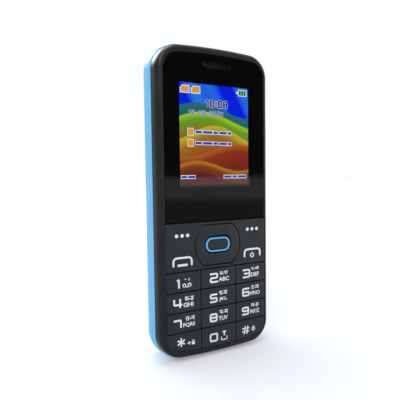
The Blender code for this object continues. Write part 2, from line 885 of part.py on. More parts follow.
def speaker_front():
    return chassis_back - speaker_depth


def motor_height():
    return top_screws - motor_margin


def motor_depth():
    return parts_front + weight_radius + gap


def trim_ring():
    """Coloured band round the waist, between the front shell and the cover."""
    crest = trim_front + trim_crest
    profile = [(trim_front_inset, trim_front)]
    for step in range(1, small_corner_steps + 1):
        share = step / small_corner_steps
        profile.append((trim_front_inset * (1 - share) ** 2, trim_front + trim_crest * share))
    for step in range(1, small_corner_steps + 1):
        share = step / small_corner_steps
        profile.append((trim_back_inset * share**2, crest + (trim_back - crest) * share))
    profile += [(trim_inside, trim_back), (trim_inside, trim_front)]
    rings = [(phone_outline(inset), depth) for inset, depth in profile]
    band = loft("trim_ring", rings, bright_blue, hollow=True)
    foot = rectangle(-phone_half, phone_half, -foot_flat - cut_overrun, 0)
    cut(band, prism("foot_cut", foot, -cut_overrun, phone_depth))
    top = phone_height + cut_overrun
    low = phone_height - trim_wall - socket_reach
    jack = circle(-jack_place, y_at(jack_middle()), jack_bore)
    cut(band, prism("jack_hole", jack, low, top, axis="Z"))
    torch = circle(0, y_at(torch_depth), torch_radius + gap)
    cut(band, prism("torch_hole", torch, low, top, axis="Z"))
    cut(band, prism("usb_hole", usb_outline(-gap), low, top, axis="Z"))
    cut(band, microphone_port(-foot_flat - cut_overrun, trim_wall + gap))


def usb_outline(inset):
    """Plan outline of the charging socket at an inset, as across and front to back."""
    left, right = usb_place - usb_width / 2, usb_place + usb_width / 2
    front, back = y_at(usb_front), y_at(usb_front + usb_depth)
    return panel(left, right, front, back, (usb_depth / 4,) * 4, inset, steps=small_corner_steps)


def battery_cover():
    """Snap-on back cover with slots over the loudspeaker."""
    deepest = cover_inset + cover_round
    inner = [(cover_side_inside, cover_front)]
    inner += quarter(cover_side_inside, deepest, cover_front, cover_inside, edge_steps, False)
    outer = [(cover_inset, cover_front)]
    outer += quarter(cover_inset, deepest, cover_front, phone_depth, edge_steps, False)
    rings = [(phone_outline(inset), depth) for inset, depth in inner[::-1] + outer]
    cover = loft("battery_cover", rings, satin_black)
    half = grille_slot_length / 2
    radii = (grille_slot_width / 2,) * 4
    start, end = cover_inside - cut_overrun, phone_depth + cut_overrun
    for index in range(grille_slots):
        z = speaker_height() + (index - (grille_slots - 1) / 2) * grille_pitch
        low, high = z - grille_slot_width / 2, z + grille_slot_width / 2
        slot = panel(-speaker_place - half, -speaker_place + half, low, high, radii, steps=small_corner_steps)
        cut(cover, prism(f"grille_slot_{index + 1}", slot, start, end))


def battery_shape(inset):
    """Outline of the battery at an inset."""
    left, right = -battery_width / 2, battery_width / 2
    radii = (battery_corner,) * 4
    return panel(left, right, battery_foot, battery_top, radii, inset, steps=small_corner_steps)


def battery_parts():
    """Battery and its spring contacts."""
    rings = [
        (battery_shape(battery_edge), battery_front),
        (battery_shape(0), battery_front + battery_edge),
        (battery_shape(0), battery_back - battery_edge),
        (battery_shape(battery_edge), battery_back),
    ]
    loft("battery", rings, battery_label)
    half = contact_width / 2
    foot = battery_top + contact_reach
    block = rectangle(-half, half, foot, battery_top + contact_height)
    contacts = prism("battery_contacts", block, parts_front, battery_back - contact_reach, dark_plastic)
    half = contact_finger / 2
    front = battery_front + contact_reach
    for index in range(contact_count):
        x = (index - (contact_count - 1) / 2) * contact_pitch
        finger = rectangle(x - half, x + half, battery_top + gap, foot + contact_reach / 2)
        join(contacts, prism(f"finger_{index + 1}", finger, front, front + contact_finger))


def card_sockets():
    """Two sockets and a memory card socket under the battery, open at their lower ends."""
    back = parts_front + sim_thickness
    inside = parts_front + sim_wall
    for index, (left, right, foot, top) in enumerate(sim_boxes()):
        socket = prism(f"sim_socket_{index + 1}", rectangle(left, right, foot, top), parts_front, back, metal)
        mouth = rectangle(left + sim_wall, right - sim_wall, foot - cut_overrun, top - sim_wall)
        cut(socket, prism(f"sim_room_{index + 1}", mouth, inside, back - sim_wall))
        left, right = left + sim_hatch_side, right - sim_hatch_side
        hatch = rectangle(left, right, foot - cut_overrun, top - sim_hatch_end)
        cut(socket, prism(f"sim_hatch_{index + 1}", hatch, inside, back + cut_overrun))
    left, right, foot, top = card_box()
    back = parts_front + card_thickness
    socket = prism("memory_card_socket", rectangle(left, right, foot, top), parts_front, back, metal)
    mouth = rectangle(left + sim_wall, right - sim_wall, foot - cut_overrun, top - sim_wall)
    cut(socket, prism("card_room", mouth, inside, back - sim_wall / 2))


def sockets():
    """Headphone jack and charging socket, which open through the top end."""
    half = jack_width / 2
    outline = rectangle(-jack_place - half, -jack_place + half, jack_foot(), jack_top())
    jack = prism("audio_jack", outline, parts_front, parts_front + jack_depth, dark_plastic)
    bore = circle(-jack_place, y_at(jack_middle()), jack_bore)
    cut(jack, prism("jack_bore", bore, jack_foot() + jack_bore, phone_height, axis="Z"))
    foot, top = usb_foot(), usb_foot() + usb_length
    shell = prism("usb_socket", usb_outline(0), foot, top, metal, axis="Z")
    cut(shell, prism("usb_bore", usb_outline(usb_wall), foot + usb_wall, phone_height, axis="Z"))
    half = usb_width / 4
    middle = y_at(usb_front + usb_depth / 2)
    tongue = rectangle(usb_place - half, usb_place + half, middle - usb_tongue / 2, middle + usb_tongue / 2)
    join(shell, prism("usb_tongue", tongue, foot + usb_wall / 2, top - usb_wall, axis="Z"))


def torch():
    """Torch lens in the top end, and the lamp behind it."""
    y = y_at(torch_depth)
    foot = torch_foot()
    shoulder_top = foot + torch_lens_length
    rings = [
        (circle(0, y, torch_flange), foot),
        (circle(0, y, torch_flange), shoulder_top),
        (circle(0, y, torch_radius), shoulder_top),
        (circle(0, y, torch_radius), phone_height - trim_wall / 2),
        (circle(0, y, torch_radius * torch_crown_share), phone_height - trim_wall / 3),
    ]
    loft("torch_lens", rings, clear_plastic, axis="Z")
    half = torch_led_size / 2
    lamp = rectangle(-half, half, y - half, y + half)
    prism("torch_led", lamp, foot - torch_led_length, foot - gap, led_yellow, axis="Z")


def loudspeaker():
    """Round loudspeaker that faces the slots of the cover."""
    x, z = -speaker_place, speaker_height()
    front = speaker_front()
    back = chassis_back - gap
    rings = [
        (circle(x, z, speaker_radius), front),
        (circle(x, z, speaker_radius), back),
        (circle(x, z, speaker_radius - speaker_rim), back),
        (circle(x, z, speaker_radius - speaker_rim), back - speaker_cone / 2),
        (circle(x, z, speaker_radius / 2), back - speaker_cone),
        (circle(x, z, speaker_radius / 4), back - speaker_cone / 2),
    ]
    loft("loudspeaker", rings, dark_plastic)


def vibration_motor():
    """Motor with an off-centre weight that spins on its shaft."""
    y, z = y_at(motor_depth()), motor_height()
    left = motor_place - motor_length / 2
    body = circle(y, z, motor_radius)
    shaft = circle(y, z, motor_shaft)
    tip = left - gap - weight_length
    rings = [(body, motor_place + motor_length / 2), (body, left), (shaft, left), (shaft, tip)]
    loft("vibration_motor", rings, metal, axis="X")
    bore = motor_shaft + gap / 2
    rim, hole = [], []
    for step in range(small_round_sides + 1):
        angle = math.pi + step / small_round_sides * math.pi
        rim.append((y + weight_radius * math.cos(angle), z + weight_radius * math.sin(angle)))
        hole.append((y + bore * math.cos(angle), z + bore * math.sin(angle)))
    outline = rim + list(reversed(hole))
    prism("motor_weight", outline, tip, left - gap, steel, (motor_place, y, z), axis="X")


def antenna():
    """Printed antenna on the back of the chassis, at the foot, under the cover."""
    half = antenna_width / 2
    outline = rectangle(-half, half, antenna_margin, antenna_margin + antenna_height)
    front = chassis_back - antenna_thickness
    sheet = prism("antenna", outline, front, chassis_back, gold)
    pitch = antenna_width / (antenna_slots + 1)
    for index in range(antenna_slots):
        x = (index - (antenna_slots - 1) / 2) * pitch
        low = antenna_margin + antenna_slot if index % 2 else antenna_margin - antenna_slot
        high = low + antenna_height
        slot = rectangle(x - antenna_slot / 2, x + antenna_slot / 2, low, high)
        cut(sheet, prism(f"antenna_slot_{index + 1}", slot, front - cut_overrun, chassis_back + cut_overrun))


def microphone():
    """Small round microphone behind its port at the foot."""
    capsule = circle(0, microphone_height(), microphone_radius)
    prism("microphone", capsule, parts_front, parts_front + microphone_length, metal)


def microphone_height():
    return lip_inside + gap + microphone_radius


def microphone_port(foot, top):
    """Round hole that lets the sound in from below."""
    port = circle(0, y_at(parts_front + microphone_length / 2), microphone_hole, small_round_sides)
    return prism("microphone_port", port, foot, top, axis="Z")


def screws():
    """Four screws from the back of the chassis into the bosses of the front shell."""
    for index, (x, z) in enumerate(screw_places()):
        tip = front_wall_back + gap
        seat = screw_seat_depth + gap
        crown = screw_head_radius * screw_crown_share
        brim = seat + screw_head_height * screw_crown_share
        rings = [
            (circle(x, z, screw_radius / 2, small_round_sides), tip),
            (circle(x, z, screw_radius, small_round_sides), tip + screw_radius),
            (circle(x, z, screw_radius, small_round_sides), seat),
            (circle(x, z, screw_head_radius, small_round_sides), seat),
            (circle(x, z, screw_head_radius, small_round_sides), brim),
            (circle(x, z, crown, small_round_sides), seat + screw_head_height),
        ]
        screw = loft(f"housing_screw_{index + 1}", rings, steel)
        deep = seat + screw_head_height / 2
        for way, across, upward in (("a", crown, screw_slot / 2), ("b", screw_slot / 2, crown)):
            drive = rectangle(x - across, x + across, z - upward, z + upward)
            cut(screw, prism(f"drive_{way}_{index + 1}", drive, deep, phone_depth))


def build():
    for old in list(bpy.data.objects):
        bpy.data.objects.remove(old, do_unlink=True)
    front_housing()
    display_window()
    earpiece()
    display()
    number_keys()
    function_keys()
    navigation()
    keypad_mat()
    dome_sheet()
    main_board()
    shields()
    rear_housing()
    trim_ring()
    battery_cover()
    battery_parts()
    card_sockets()
    sockets()
    torch()
    loudspeaker()
    vibration_motor()
    antenna()
    microphone()
    screws()


build()
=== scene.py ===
"""Bar phone with large flush keys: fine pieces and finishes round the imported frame.

Metres, +Z up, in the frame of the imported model. The display and the keys face -Y, and +X is on
the right of someone who looks at them. Depths are measured from the front face backwards, and an
inset is measured inwards from an outline.
"""

import math

import bmesh
import bpy
from bpy.props import FloatProperty, FloatVectorProperty, PointerProperty
from mathutils import Matrix, Vector


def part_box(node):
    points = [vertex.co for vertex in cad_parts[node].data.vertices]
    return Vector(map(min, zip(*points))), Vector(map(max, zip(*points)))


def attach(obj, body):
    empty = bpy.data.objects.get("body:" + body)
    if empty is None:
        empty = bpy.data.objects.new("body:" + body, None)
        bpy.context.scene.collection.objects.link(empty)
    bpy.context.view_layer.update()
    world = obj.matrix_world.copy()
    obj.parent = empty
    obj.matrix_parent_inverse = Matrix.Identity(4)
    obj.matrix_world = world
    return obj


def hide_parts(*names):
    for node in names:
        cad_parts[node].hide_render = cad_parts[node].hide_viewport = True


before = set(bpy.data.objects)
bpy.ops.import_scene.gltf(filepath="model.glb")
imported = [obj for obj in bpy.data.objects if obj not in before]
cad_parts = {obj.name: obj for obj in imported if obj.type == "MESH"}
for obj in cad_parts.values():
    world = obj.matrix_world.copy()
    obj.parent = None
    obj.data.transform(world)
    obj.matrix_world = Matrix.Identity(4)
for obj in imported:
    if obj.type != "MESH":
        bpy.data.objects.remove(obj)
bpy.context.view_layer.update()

bl_info = {
    "name": "Bar Phone With Large Keys",
    "version": (1, 0, 0),
    "blender": (4, 5, 0),
    "location": "View3D > Sidebar > Phone",
    "description": "Builds the fine pieces and finishes of a bar phone on its packed frame",
    "category": "Object",
}

MM = 0.001

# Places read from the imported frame
field_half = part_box("display_window")[1].x
front_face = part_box("display_window")[0].y
window_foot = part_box("display_window")[0].z
window_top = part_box("display_window")[1].z
phone_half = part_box("trim_ring")[1].x
plate_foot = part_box("function_plate")[0].z
plate_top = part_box("function_plate")[1].z
navigation_half = (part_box("navigation_key")[1].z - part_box("navigation_key")[0].z) / 2
navigation_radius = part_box("navigation_key")[1].x
function_middle = (plate_foot + plate_top) / 2

# Fineness of curves and small clearances
gap = 0.3 * MM
overrun = 2.0 * MM
least_radius = 0.15 * MM
weld = 0.0004 * MM
sharp_angle = math.radians(30)
corner_steps = 20
edge_steps = 24
round_steps = 14
small_steps = 8
circle_sides = 48

# Outline of the phone and the field that the window and the keys share
phone_height = 113.0 * MM
corner_radius = 8.8 * MM
edge_arch = 1.2 * MM
window_arch = 1.3 * MM
keypad_arch = 1.4 * MM
foot_flat = 0.25 * MM
field_corner = 5.0 * MM
keypad_margin = 3.5 * MM

# Shells: insets from the widest outline, and depths
land_inset = 2.7 * MM
side_inset = 0.8 * MM
rim_inset = 0.6 * MM
front_inside = 2.1 * MM
rim_round_depth = 3.8 * MM
rim_edge = 0.26 * MM
recess_gap = 0.12 * MM
front_wall_back = 3.0 * MM
key_opening_half = 15.8 * MM
key_opening_lift = 1.85 * MM
key_opening_top = 48.0 * MM
rim_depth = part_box("front_housing")[1].y - front_face
window_ledge = 1.3 * MM
keypad_ledge = 2.4 * MM
boss_radius = 1.9 * MM
boss_hole_radius = 1.0 * MM
screw_column = 18.35 * MM
screw_heights = (11.0 * MM, 103.4 * MM)
trim_wall = 1.55 * MM
trim_front = 5.4 * MM
trim_back = 9.9 * MM
trim_crest = 8.0 * MM
trim_front_inset = 0.52 * MM
trim_back_inset = 0.2 * MM
trim_edge = 0.12 * MM
cover_inset = 0.3 * MM
cover_side_inside = 1.5 * MM
cover_deepest = 4.6 * MM
cover_front = 10.2 * MM
cover_inside = 13.6 * MM
cover_back = 14.9 * MM

# Keys
row_pitch = 7.2 * MM
number_top = 32.5 * MM
number_rows = 3
middle_half = 7.375 * MM
key_seam = 0.36 * MM
key_thickness = 1.2 * MM
key_corner = 0.45 * MM
key_crown_width = 0.5 * MM
navigation_seam = 0.35 * MM
navigation_thickness = 1.0 * MM
navigation_proud = front_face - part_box("navigation_key")[0].y
navigation_edge = 0.3 * MM
pad_dish = 0.55 * MM
ok_half_width = 5.5 * MM
ok_half_height = 3.15 * MM
ok_corner = 2.5 * MM
ok_ring_outer = 0.55 * MM
ok_ring_wall = 0.6 * MM
ok_ring_corner = 2.95 * MM
ok_ring_thickness = 0.75 * MM
ok_ring_rise = 0.15 * MM
ok_proud = front_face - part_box("ok_key_ring")[0].y
ok_flange_front = 0.9 * MM
ok_flange_back = 1.4 * MM
plunger_radius = 1.4 * MM
dot_radius = 0.32 * MM
dot_height = 0.25 * MM
dot_inset = 1.35 * MM
star_arms = 6
star_reach = 1.6 * MM
star_place = (-15.47 * MM, 7.6 * MM)
hash_uprights = (11.35, 12.55)
hash_lean = 0.22
hash_foot = 5.35
hash_top = 8.5
hash_rows = (6.4, 7.55)
hash_pieces = ((10.24, 11.05), (11.7, 12.2), (12.85, 13.4))
hash_middle = 6.95
hash_slant = 0.14
hash_share = 0.72

# Window, display and earpiece
window_thickness = 1.0 * MM
window_edge = 0.15 * MM
slot_half_width = 5.6 * MM
slot_half_height = 0.95 * MM
slot_height = 105.45 * MM
mesh_setback = 0.3 * MM
mesh_thickness = 0.4 * MM
wire_pitch = 0.42 * MM
wire_radius = 0.08 * MM
aperture_half = 15.1 * MM
aperture_foot = 62.2 * MM
aperture_top = 99.5 * MM
picture_half = 14.28 * MM
picture_foot = 63.0 * MM
picture_top = 98.7 * MM
panel_front = 1.6 * MM
panel_back = 2.9 * MM
polariser_step = 0.2 * MM
sign_front = 1.54 * MM
sign_thickness = 0.04 * MM
pixel_pitch = 0.223 * MM

# Card and battery signs of the display
card_lefts = (-13.96 * MM, -9.72 * MM)
card_width = 3.7 * MM
card_foot = 95.1 * MM
card_top = 97.84 * MM
card_notch = 0.9 * MM
card_rim = 0.32 * MM
card_cross = (-1.5 * MM, -0.5 * MM, 0.5 * MM, 1.4 * MM)
card_cross_line = 0.3 * MM
cell_box = (9.02 * MM, 13.65 * MM, 95.64 * MM, 98.07 * MM)
cell_nub = 0.8 * MM
cell_rim = 0.3 * MM
cell_bars = 3

# Rows of digits: text and left edge, then foot, width, height, line and rounding, all in millimetres
CLOCK = (("1", -4.45), ("0", -2.2), ("0", 1.0), ("8", 3.25))
CLOCK_SIZES = (90.67, 1.9, 2.7, 0.5, 0.35)
clock_halo = 0.12
DATE = (("1", -11.0), ("2", -9.5), ("1", -6.9), ("0", -5.4), ("2", -2.6), ("0", -1.0), ("3", 0.6), ("4", 2.2))
DATE_SIZES = (87.85, 1.25, 1.55, 0.3, 0.2)
date_halo = 0.1
colon_place = 0.35 * MM
colon_heights = (91.5 * MM, 92.7 * MM)
colon_radius = 0.26 * MM
colon_halo = 0.38 * MM
dash_lefts = (-7.6 * MM, -3.6 * MM)
dash_height = 88.6 * MM
dash_halo = (0.0, 0.55 * MM, 0.42 * MM)
dash_face = (0.08 * MM, 0.47 * MM, 0.24 * MM)

# Plain bars by left edge and width in millimetres, then how far a layer grows sideways, its foot and its top
MIDDLE_BARS = ((-8.2, 2.6), (-5.2, 3.9), (-0.9, 1.8), (1.6, 3.2), (5.2, 1.6))
FOOT_BARS = ((-13.9, 2.2), (-11.3, 2.9), (3.4, 3.3), (7.1, 2.0), (9.5, 3.7))
middle_rows = (80.9 * MM, 77.0 * MM)
foot_row = 65.0 * MM
bar_square = (-11.1 * MM, -9.0 * MM, -0.3 * MM, 2.0 * MM)
square_halo = 0.2 * MM
bar_halo = (0.12 * MM, 0.18 * MM, 1.52 * MM)
bar_face = (-0.08 * MM, 0.42 * MM, 1.28 * MM)

# Back cover: speaker slots and thumb grooves
speaker_slots = 5
speaker_slot_pitch = 1.9 * MM
speaker_slot_half = 4.5 * MM
speaker_slot_radius = 0.45 * MM
speaker_slot_edge = 0.2 * MM
grooves = 6
groove_foot = 12.0 * MM
groove_pitch = 1.6 * MM
groove_half = 9.0 * MM
groove_step = 1.0 * MM
groove_radius = 0.3 * MM
groove_depth = 0.25 * MM
groove_edge = 0.15 * MM

# Sockets and lamp of the top end, and the sound port of the foot
jack_wall = 0.4 * MM
jack_bore = 1.8 * MM
jack_bore_edge = 0.15 * MM
jack_contact_reach = 0.25 * MM
jack_contact_shares = (0.35, 0.6, 0.85)
torch_radius = 1.3 * MM
torch_foot_inset = 0.3 * MM
torch_foot_rise = 0.5 * MM
torch_edge = 0.15 * MM
torch_shoulder = 1.6 * MM
torch_crown = 0.26 * MM
usb_wall = 0.35 * MM
tongue_half_depth = 0.3 * MM
tongue_corner = 0.2 * MM
pin_count = 5
pin_pitch = 0.65 * MM
pin_half_width = 0.16 * MM
pin_front = 0.06 * MM
pin_back = 0.05 * MM
pin_setback = 0.4 * MM
port_radius = 0.5 * MM
port_depth = 6.15 * MM

# Floor, camera and the bright spot that lights the left top corner
floor_reach = 6.0
floor_glow = 0.25
far_floor_glow = 0.55
camera_place = (-73.42 * MM, front_face - 126.125 * MM, 65.65 * MM)
camera_azimuth = math.radians(-27.666)
camera_elevation = math.radians(3.212)
camera_roll = math.radians(-0.738)
camera_lens = 36.14
camera_sensor = 36.0
near_clip = 1.0 * MM
spark_way = (-0.25, 0.76, 0.60)

# Soft lamps: name, place, side and share of the power
LAMPS = (
    ("upper_left", (-0.34, -0.30, 0.42), 0.30, 1.0),
    ("overhead", (-0.06, 0.12, 0.55), 0.22, 0.7),
)


def level(_):
    """Rise of an edge that is straight."""
    return 0


def arch_up(x):
    return edge_arch * (x / phone_half) ** 2


def arch_down(x):
    return -edge_arch * (x / phone_half) ** 2


def keypad_rise(x):
    return keypad_arch * (x / field_half) ** 2


def window_rise(x):
    return -window_arch * (x / field_half) ** 2


def panel(left, right, foot, top, radii, inset=0, foot_rise=level, top_rise=level, steps=corner_steps):
    """Outline of a panel with four round corners, anticlockwise from its right side."""
    left, right = left + inset, right - inset
    foot, top = foot + inset, top - inset
    spread = edge_steps if steps == corner_steps else small_steps
    corners = ((right, top, -1, -1), (left, top, 1, -1), (left, foot, 1, 1), (right, foot, -1, 1))
    points = []
    for index, (x, z, inward_x, inward_z) in enumerate(corners):
        radius = max(radii[index] - inset, least_radius)
        centre_x = x + inward_x * radius
        centre_z = z + inward_z * radius
        rise = top_rise if index < 2 else foot_rise
        for step in range(steps + 1):
            angle = (index + step / steps) * math.pi / 2
            px = centre_x + radius * math.cos(angle)
            pz = centre_z + radius * math.sin(angle)
            points.append((px, pz + rise(px)))
        if index in (0, 2):
            next_radius = max(radii[index + 1] - inset, least_radius)
            far_x = corners[index + 1][0] + corners[index + 1][2] * next_radius
            for step in range(1, spread):
                px = centre_x + (far_x - centre_x) * step / spread
                points.append((px, z + rise(px)))
    return points


def phone_outline(inset):
    radii = (corner_radius,) * 4
    return panel(-phone_half, phone_half, -foot_flat, phone_height, radii, inset, arch_up, arch_down)


def field_shape(inset):
    """Outline of the recess that holds the window and the keys."""
    radii = (field_corner,) * 4
    return panel(-field_half, field_half, keypad_margin, window_top, radii, inset, keypad_rise, window_rise)


def window_shape(inset):
    radii = (field_corner, field_corner, least_radius, least_radius)
    return panel(-field_half, field_half, window_foot, window_top, radii, inset, level, window_rise)


def slot_shape(inset):
    """Round-ended slot of the earpiece."""
    radii = (slot_half_height,) * 4
    foot, top = slot_height - slot_half_height, slot_height + slot_half_height
    return panel(-slot_half_width, slot_half_width, foot, top, radii, inset, steps=small_steps)


def plate_shape(inset):
    return panel(-field_half, field_half, plate_foot, plate_top, (key_corner,) * 4, inset, steps=small_steps)


def navigation_shape(inset):
    """Circle cut flat at the top and at the foot."""
    radius = navigation_radius - inset
    reach = math.asin(min(1, (navigation_half - inset) / radius))
    points = []
    for start in (-reach, math.pi - reach):
        for step in range(circle_sides + 1):
            angle = start + step / circle_sides * 2 * reach
            points.append((radius * math.cos(angle), function_middle + radius * math.sin(angle)))
    return points


def ok_shape(inset):
    """Outline of the hole in the navigation pad, and of what fills it, at an inset."""
    foot, top = function_middle - ok_half_height, function_middle + ok_half_height
    return panel(-ok_half_width, ok_half_width, foot, top, (ok_corner,) * 4, inset)


def ring_shape(inset):
    """Rounder outline of the ring in that hole, and of the key inside it."""
    foot, top = function_middle - ok_half_height, function_middle + ok_half_height
    return panel(-ok_half_width, ok_half_width, foot, top, (ok_ring_corner,) * 4, inset)


def circle(x, z, radius, sides=circle_sides):
    turn = 2 * math.pi / sides
    return [(x + radius * math.cos(i * turn), z + radius * math.sin(i * turn)) for i in range(sides)]


def rectangle(left, right, foot, top):
    return [(right, top), (left, top), (left, foot), (right, foot)]


def y_at(depth):
    return front_face + depth


# Making pieces


def place(first, second, along, axis):
    """World point of an outline point; along Y, Z or X it is a depth, a height or a place across."""
    if axis == "Y":
        return Vector((first, y_at(along), second))
    if axis == "Z":
        return Vector((first, second, along))
    return Vector((along, first, second))


def add_rings(mesh, rings, hollow=False, axis="Y"):
    """Adds a closed body through rings of points; a hollow one joins its last ring to its first."""
    loops = [[mesh.verts.new(place(*point, along, axis)) for point in points] for points, along in rings]
    faces = []
    if hollow:
        loops.append(loops[0])
    for near, far in zip(loops, loops[1:]):
        for i in range(len(near)):
            j = (i + 1) % len(near)
            faces.append(mesh.faces.new((near[i], near[j], far[j], far[i])))
    if not hollow:
        faces.append(mesh.faces.new(loops[0]))
        faces.append(mesh.faces.new(loops[-1]))
    return faces


def piece(name, mesh):
    """Turns built-up mesh data into an object with tidy, outward faces."""
    bmesh.ops.remove_doubles(mesh, verts=mesh.verts, dist=weld)
    bmesh.ops.recalc_face_normals(mesh, faces=mesh.faces)
    data = bpy.data.meshes.new(name)
    mesh.to_mesh(data)
    mesh.free()
    made = bpy.data.objects.new(name, data)
    bpy.context.scene.collection.objects.link(made)
    return made


def loft(name, rings, hollow=False, axis="Y"):
    mesh = bmesh.new()
    add_rings(mesh, rings, hollow, axis)
    return piece(name, mesh)


def prism(name, points, start, end, axis="Y"):
    return loft(name, [(points, start), (points, end)], axis=axis)


def quarter(from_inset, to_inset, from_depth, to_depth, flat_first, steps=round_steps):
    """Insets and depths along a quarter ellipse, which starts flat on the face or along the side."""
    rings = []
    for step in range(1, steps + 1):
        angle = step / steps * math.pi / 2
        along, across = math.sin(angle), 1 - math.cos(angle)
        if flat_first:
            along, across = across, along
        rings.append((from_inset + (to_inset - from_inset) * across, from_depth + (to_depth - from_depth) * along))
    return rings


def flared(name, shape, front, back, flare, axis="Y", outward=-1):
    """Cutter whose mouth opens in a quarter round, so that the edge it leaves is round."""
    rings = [(shape(-flare), front + outward * overrun)]
    for step in range(small_steps + 1):
        angle = step / small_steps * math.pi / 2
        inset = flare * (math.sin(angle) - 1)
        rings.append((shape(inset), front - outward * flare * (1 - math.cos(angle))))
    rings.append((shape(0), back))
    return loft(name, rings, axis=axis)


def settle(made):
    """Applies a piece's modifiers to its mesh."""
    graph = bpy.context.evaluated_depsgraph_get()
    mesh = bpy.data.meshes.new_from_object(made.evaluated_get(graph))
    made.modifiers.clear()
    made.data = mesh


def change(target, operation, tools):
    for tool in tools:
        step = target.modifiers.new(tool.name, "BOOLEAN")
        step.operation = operation
        step.solver = "EXACT"
        step.object = tool
    settle(target)
    for tool in tools:
        bpy.data.objects.remove(tool, do_unlink=True)


def carve(target, *tools):
    change(target, "DIFFERENCE", tools)


def join(target, *tools):
    change(target, "UNION", tools)


def dress(made, body, slot, material, *nodes):
    """Smooths a piece, gives it its finish and hangs it on its body in place of its nodes."""
    made.data.shade_smooth()
    made.data.set_sharp_from_angle(angle=sharp_angle)
    even = made.modifiers.new("even_normals", "WEIGHTED_NORMAL")
    even.keep_sharp = True
    if material:
        made.data.materials.clear()
        made.data.materials.append(material)
    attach(made, body)
    if nodes:
        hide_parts(*nodes)
    return made


def cap_rings(shape, front, back, edge, crown):
    """Rings of a key cap: gently crowned face, round edge and straight side."""
    rings = []
    for share in (1, 0.6, 0.3, 0.1, 0):
        rings.append((shape(edge + key_crown_width * share), front + crown * (1 - share) ** 2))
    for inset, depth in quarter(edge, 0, front + crown, front + crown + edge, True, small_steps):
        rings.append((shape(inset), depth))
    rings.append((shape(0), back))
    return rings


# Printed signs


def rounded_path(points, radius, closed):
    """Path through the points with its corners rounded."""
    path = []
    count = len(points)
    for index, here in enumerate(points):
        if not closed and index in (0, count - 1):
            path.append(here)
            continue
        back = points[index - 1] - here
        ahead = points[(index + 1) % count] - here
        reach = min(radius, back.length / 2, ahead.length / 2)
        start = here + back.normalized() * reach
        end = here + ahead.normalized() * reach
        for step in range(small_steps + 1):
            share = step / small_steps
            bend = start * (1 - share) ** 2 + here * 2 * share * (1 - share) + end * share**2
            if not path or (bend - path[-1]).length > weld:
                path.append(bend)
    if closed and (path[0] - path[-1]).length < weld:
        path.pop()
    return path


class Print:
    """Flat signs printed on a face: thin closed plates at one depth, gathered in one mesh."""

    def __init__(self, front, back):
        self.mesh = bmesh.new()
        self.front = front
        self.back = back
        self.finish = 0

    def tint(self, faces):
        for face in faces:
            face.material_index = self.finish

    def stroke(self, points, width, radius=0, closed=False):
        """Line of even width along a path."""
        path = rounded_path([Vector(point) for point in points], radius, closed)
        count = len(path)
        rows = []
        for index, here in enumerate(path):
            before = path[index - 1] if closed or index else here
            after = path[(index + 1) % count] if closed or index < count - 1 else here
            arrive = (here - before) if here != before else (after - here)
            leave = (after - here) if here != after else (here - before)
            way = (arrive.normalized() + leave.normalized()).normalized()
            stretch = 1 / max(way.dot(arrive.normalized()), 0.5)
            side = Vector((-way.y, way.x)) * width / 2 * stretch
            corners = ((here + side, self.front), (here - side, self.front))
            corners += ((here - side, self.back), (here + side, self.back))
            rows.append([self.mesh.verts.new(place(p.x, p.y, depth, "Y")) for p, depth in corners])
        faces = []
        pairs = list(zip(rows, rows[1:]))
        if closed:
            pairs.append((rows[-1], rows[0]))
        for near, far in pairs:
            for i in range(4):
                j = (i + 1) % 4
                faces.append(self.mesh.faces.new((near[i], near[j], far[j], far[i])))
        if not closed:
            faces.append(self.mesh.faces.new(rows[0]))
            faces.append(self.mesh.faces.new(rows[-1]))
        self.tint(faces)

    def patch(self, points):
        """Filled outline."""
        self.tint(add_rings(self.mesh, [(points, self.front), (points, self.back)]))

    def ring(self, x, z, radius, width):
        points = circle(x, z, radius - width / 2, round_steps)
        self.stroke(points, width, closed=True)

    def dot(self, x, z, radius):
        self.patch(circle(x, z, radius, round_steps))

    def words(self, text, left, right, foot, top, bold=0.0):
        """Letters of Blender's own font, fitted to a box."""
        curve = bpy.data.curves.new("letters", "FONT")
        curve.body = text
        curve.offset = bold
        curve.resolution_u = 3
        curve.extrude = 1
        holder = bpy.data.objects.new("letters", curve)
        bpy.context.scene.collection.objects.link(holder)
        graph = bpy.context.evaluated_depsgraph_get()
        data = bpy.data.meshes.new_from_object(holder.evaluated_get(graph))
        bpy.data.objects.remove(holder, do_unlink=True)
        xs = [v.co.x for v in data.vertices]
        ys = [v.co.y for v in data.vertices]
        for v in data.vertices:
            x = left + (v.co.x - min(xs)) / (max(xs) - min(xs)) * (right - left)
            z = foot + (v.co.y - min(ys)) / (max(ys) - min(ys)) * (top - foot)
            v.co = place(x, z, self.front if v.co.z > 0 else self.back, "Y")
        known = len(self.mesh.faces)
        self.mesh.from_mesh(data)
        self.mesh.faces.ensure_lookup_table()
        self.tint(self.mesh.faces[known:])
        bpy.data.meshes.remove(data)

    def digit(self, sign, left, foot, width, height, line, radius):
        """Squared digit with round corners in a box."""

        def spot(u, v):
            return (left + line / 2 + u * (width - line), foot + line / 2 + v * (height - line))

        for path, closed in DIGITS[sign]:
            self.stroke([spot(*point) for point in path], line, radius, closed)

    def marks(self, rows):
        """Draws rows of a table in millimetres: dots, rings, lines, loops and filled areas."""
        for kind, *values in rows:
            points = [(value[0] * MM, value[1] * MM) for value in values if isinstance(value, tuple)]
            sizes = [value * MM for value in values if not isinstance(value, tuple)]
            if kind in ("line", "loop"):
                self.stroke(points, *sizes, closed=kind == "loop")
            elif kind == "area":
                self.patch(points)
            elif kind == "ring":
                self.ring(*sizes)
            else:
                self.dot(*sizes)

    def made(self, name):
        return piece(name, self.mesh)


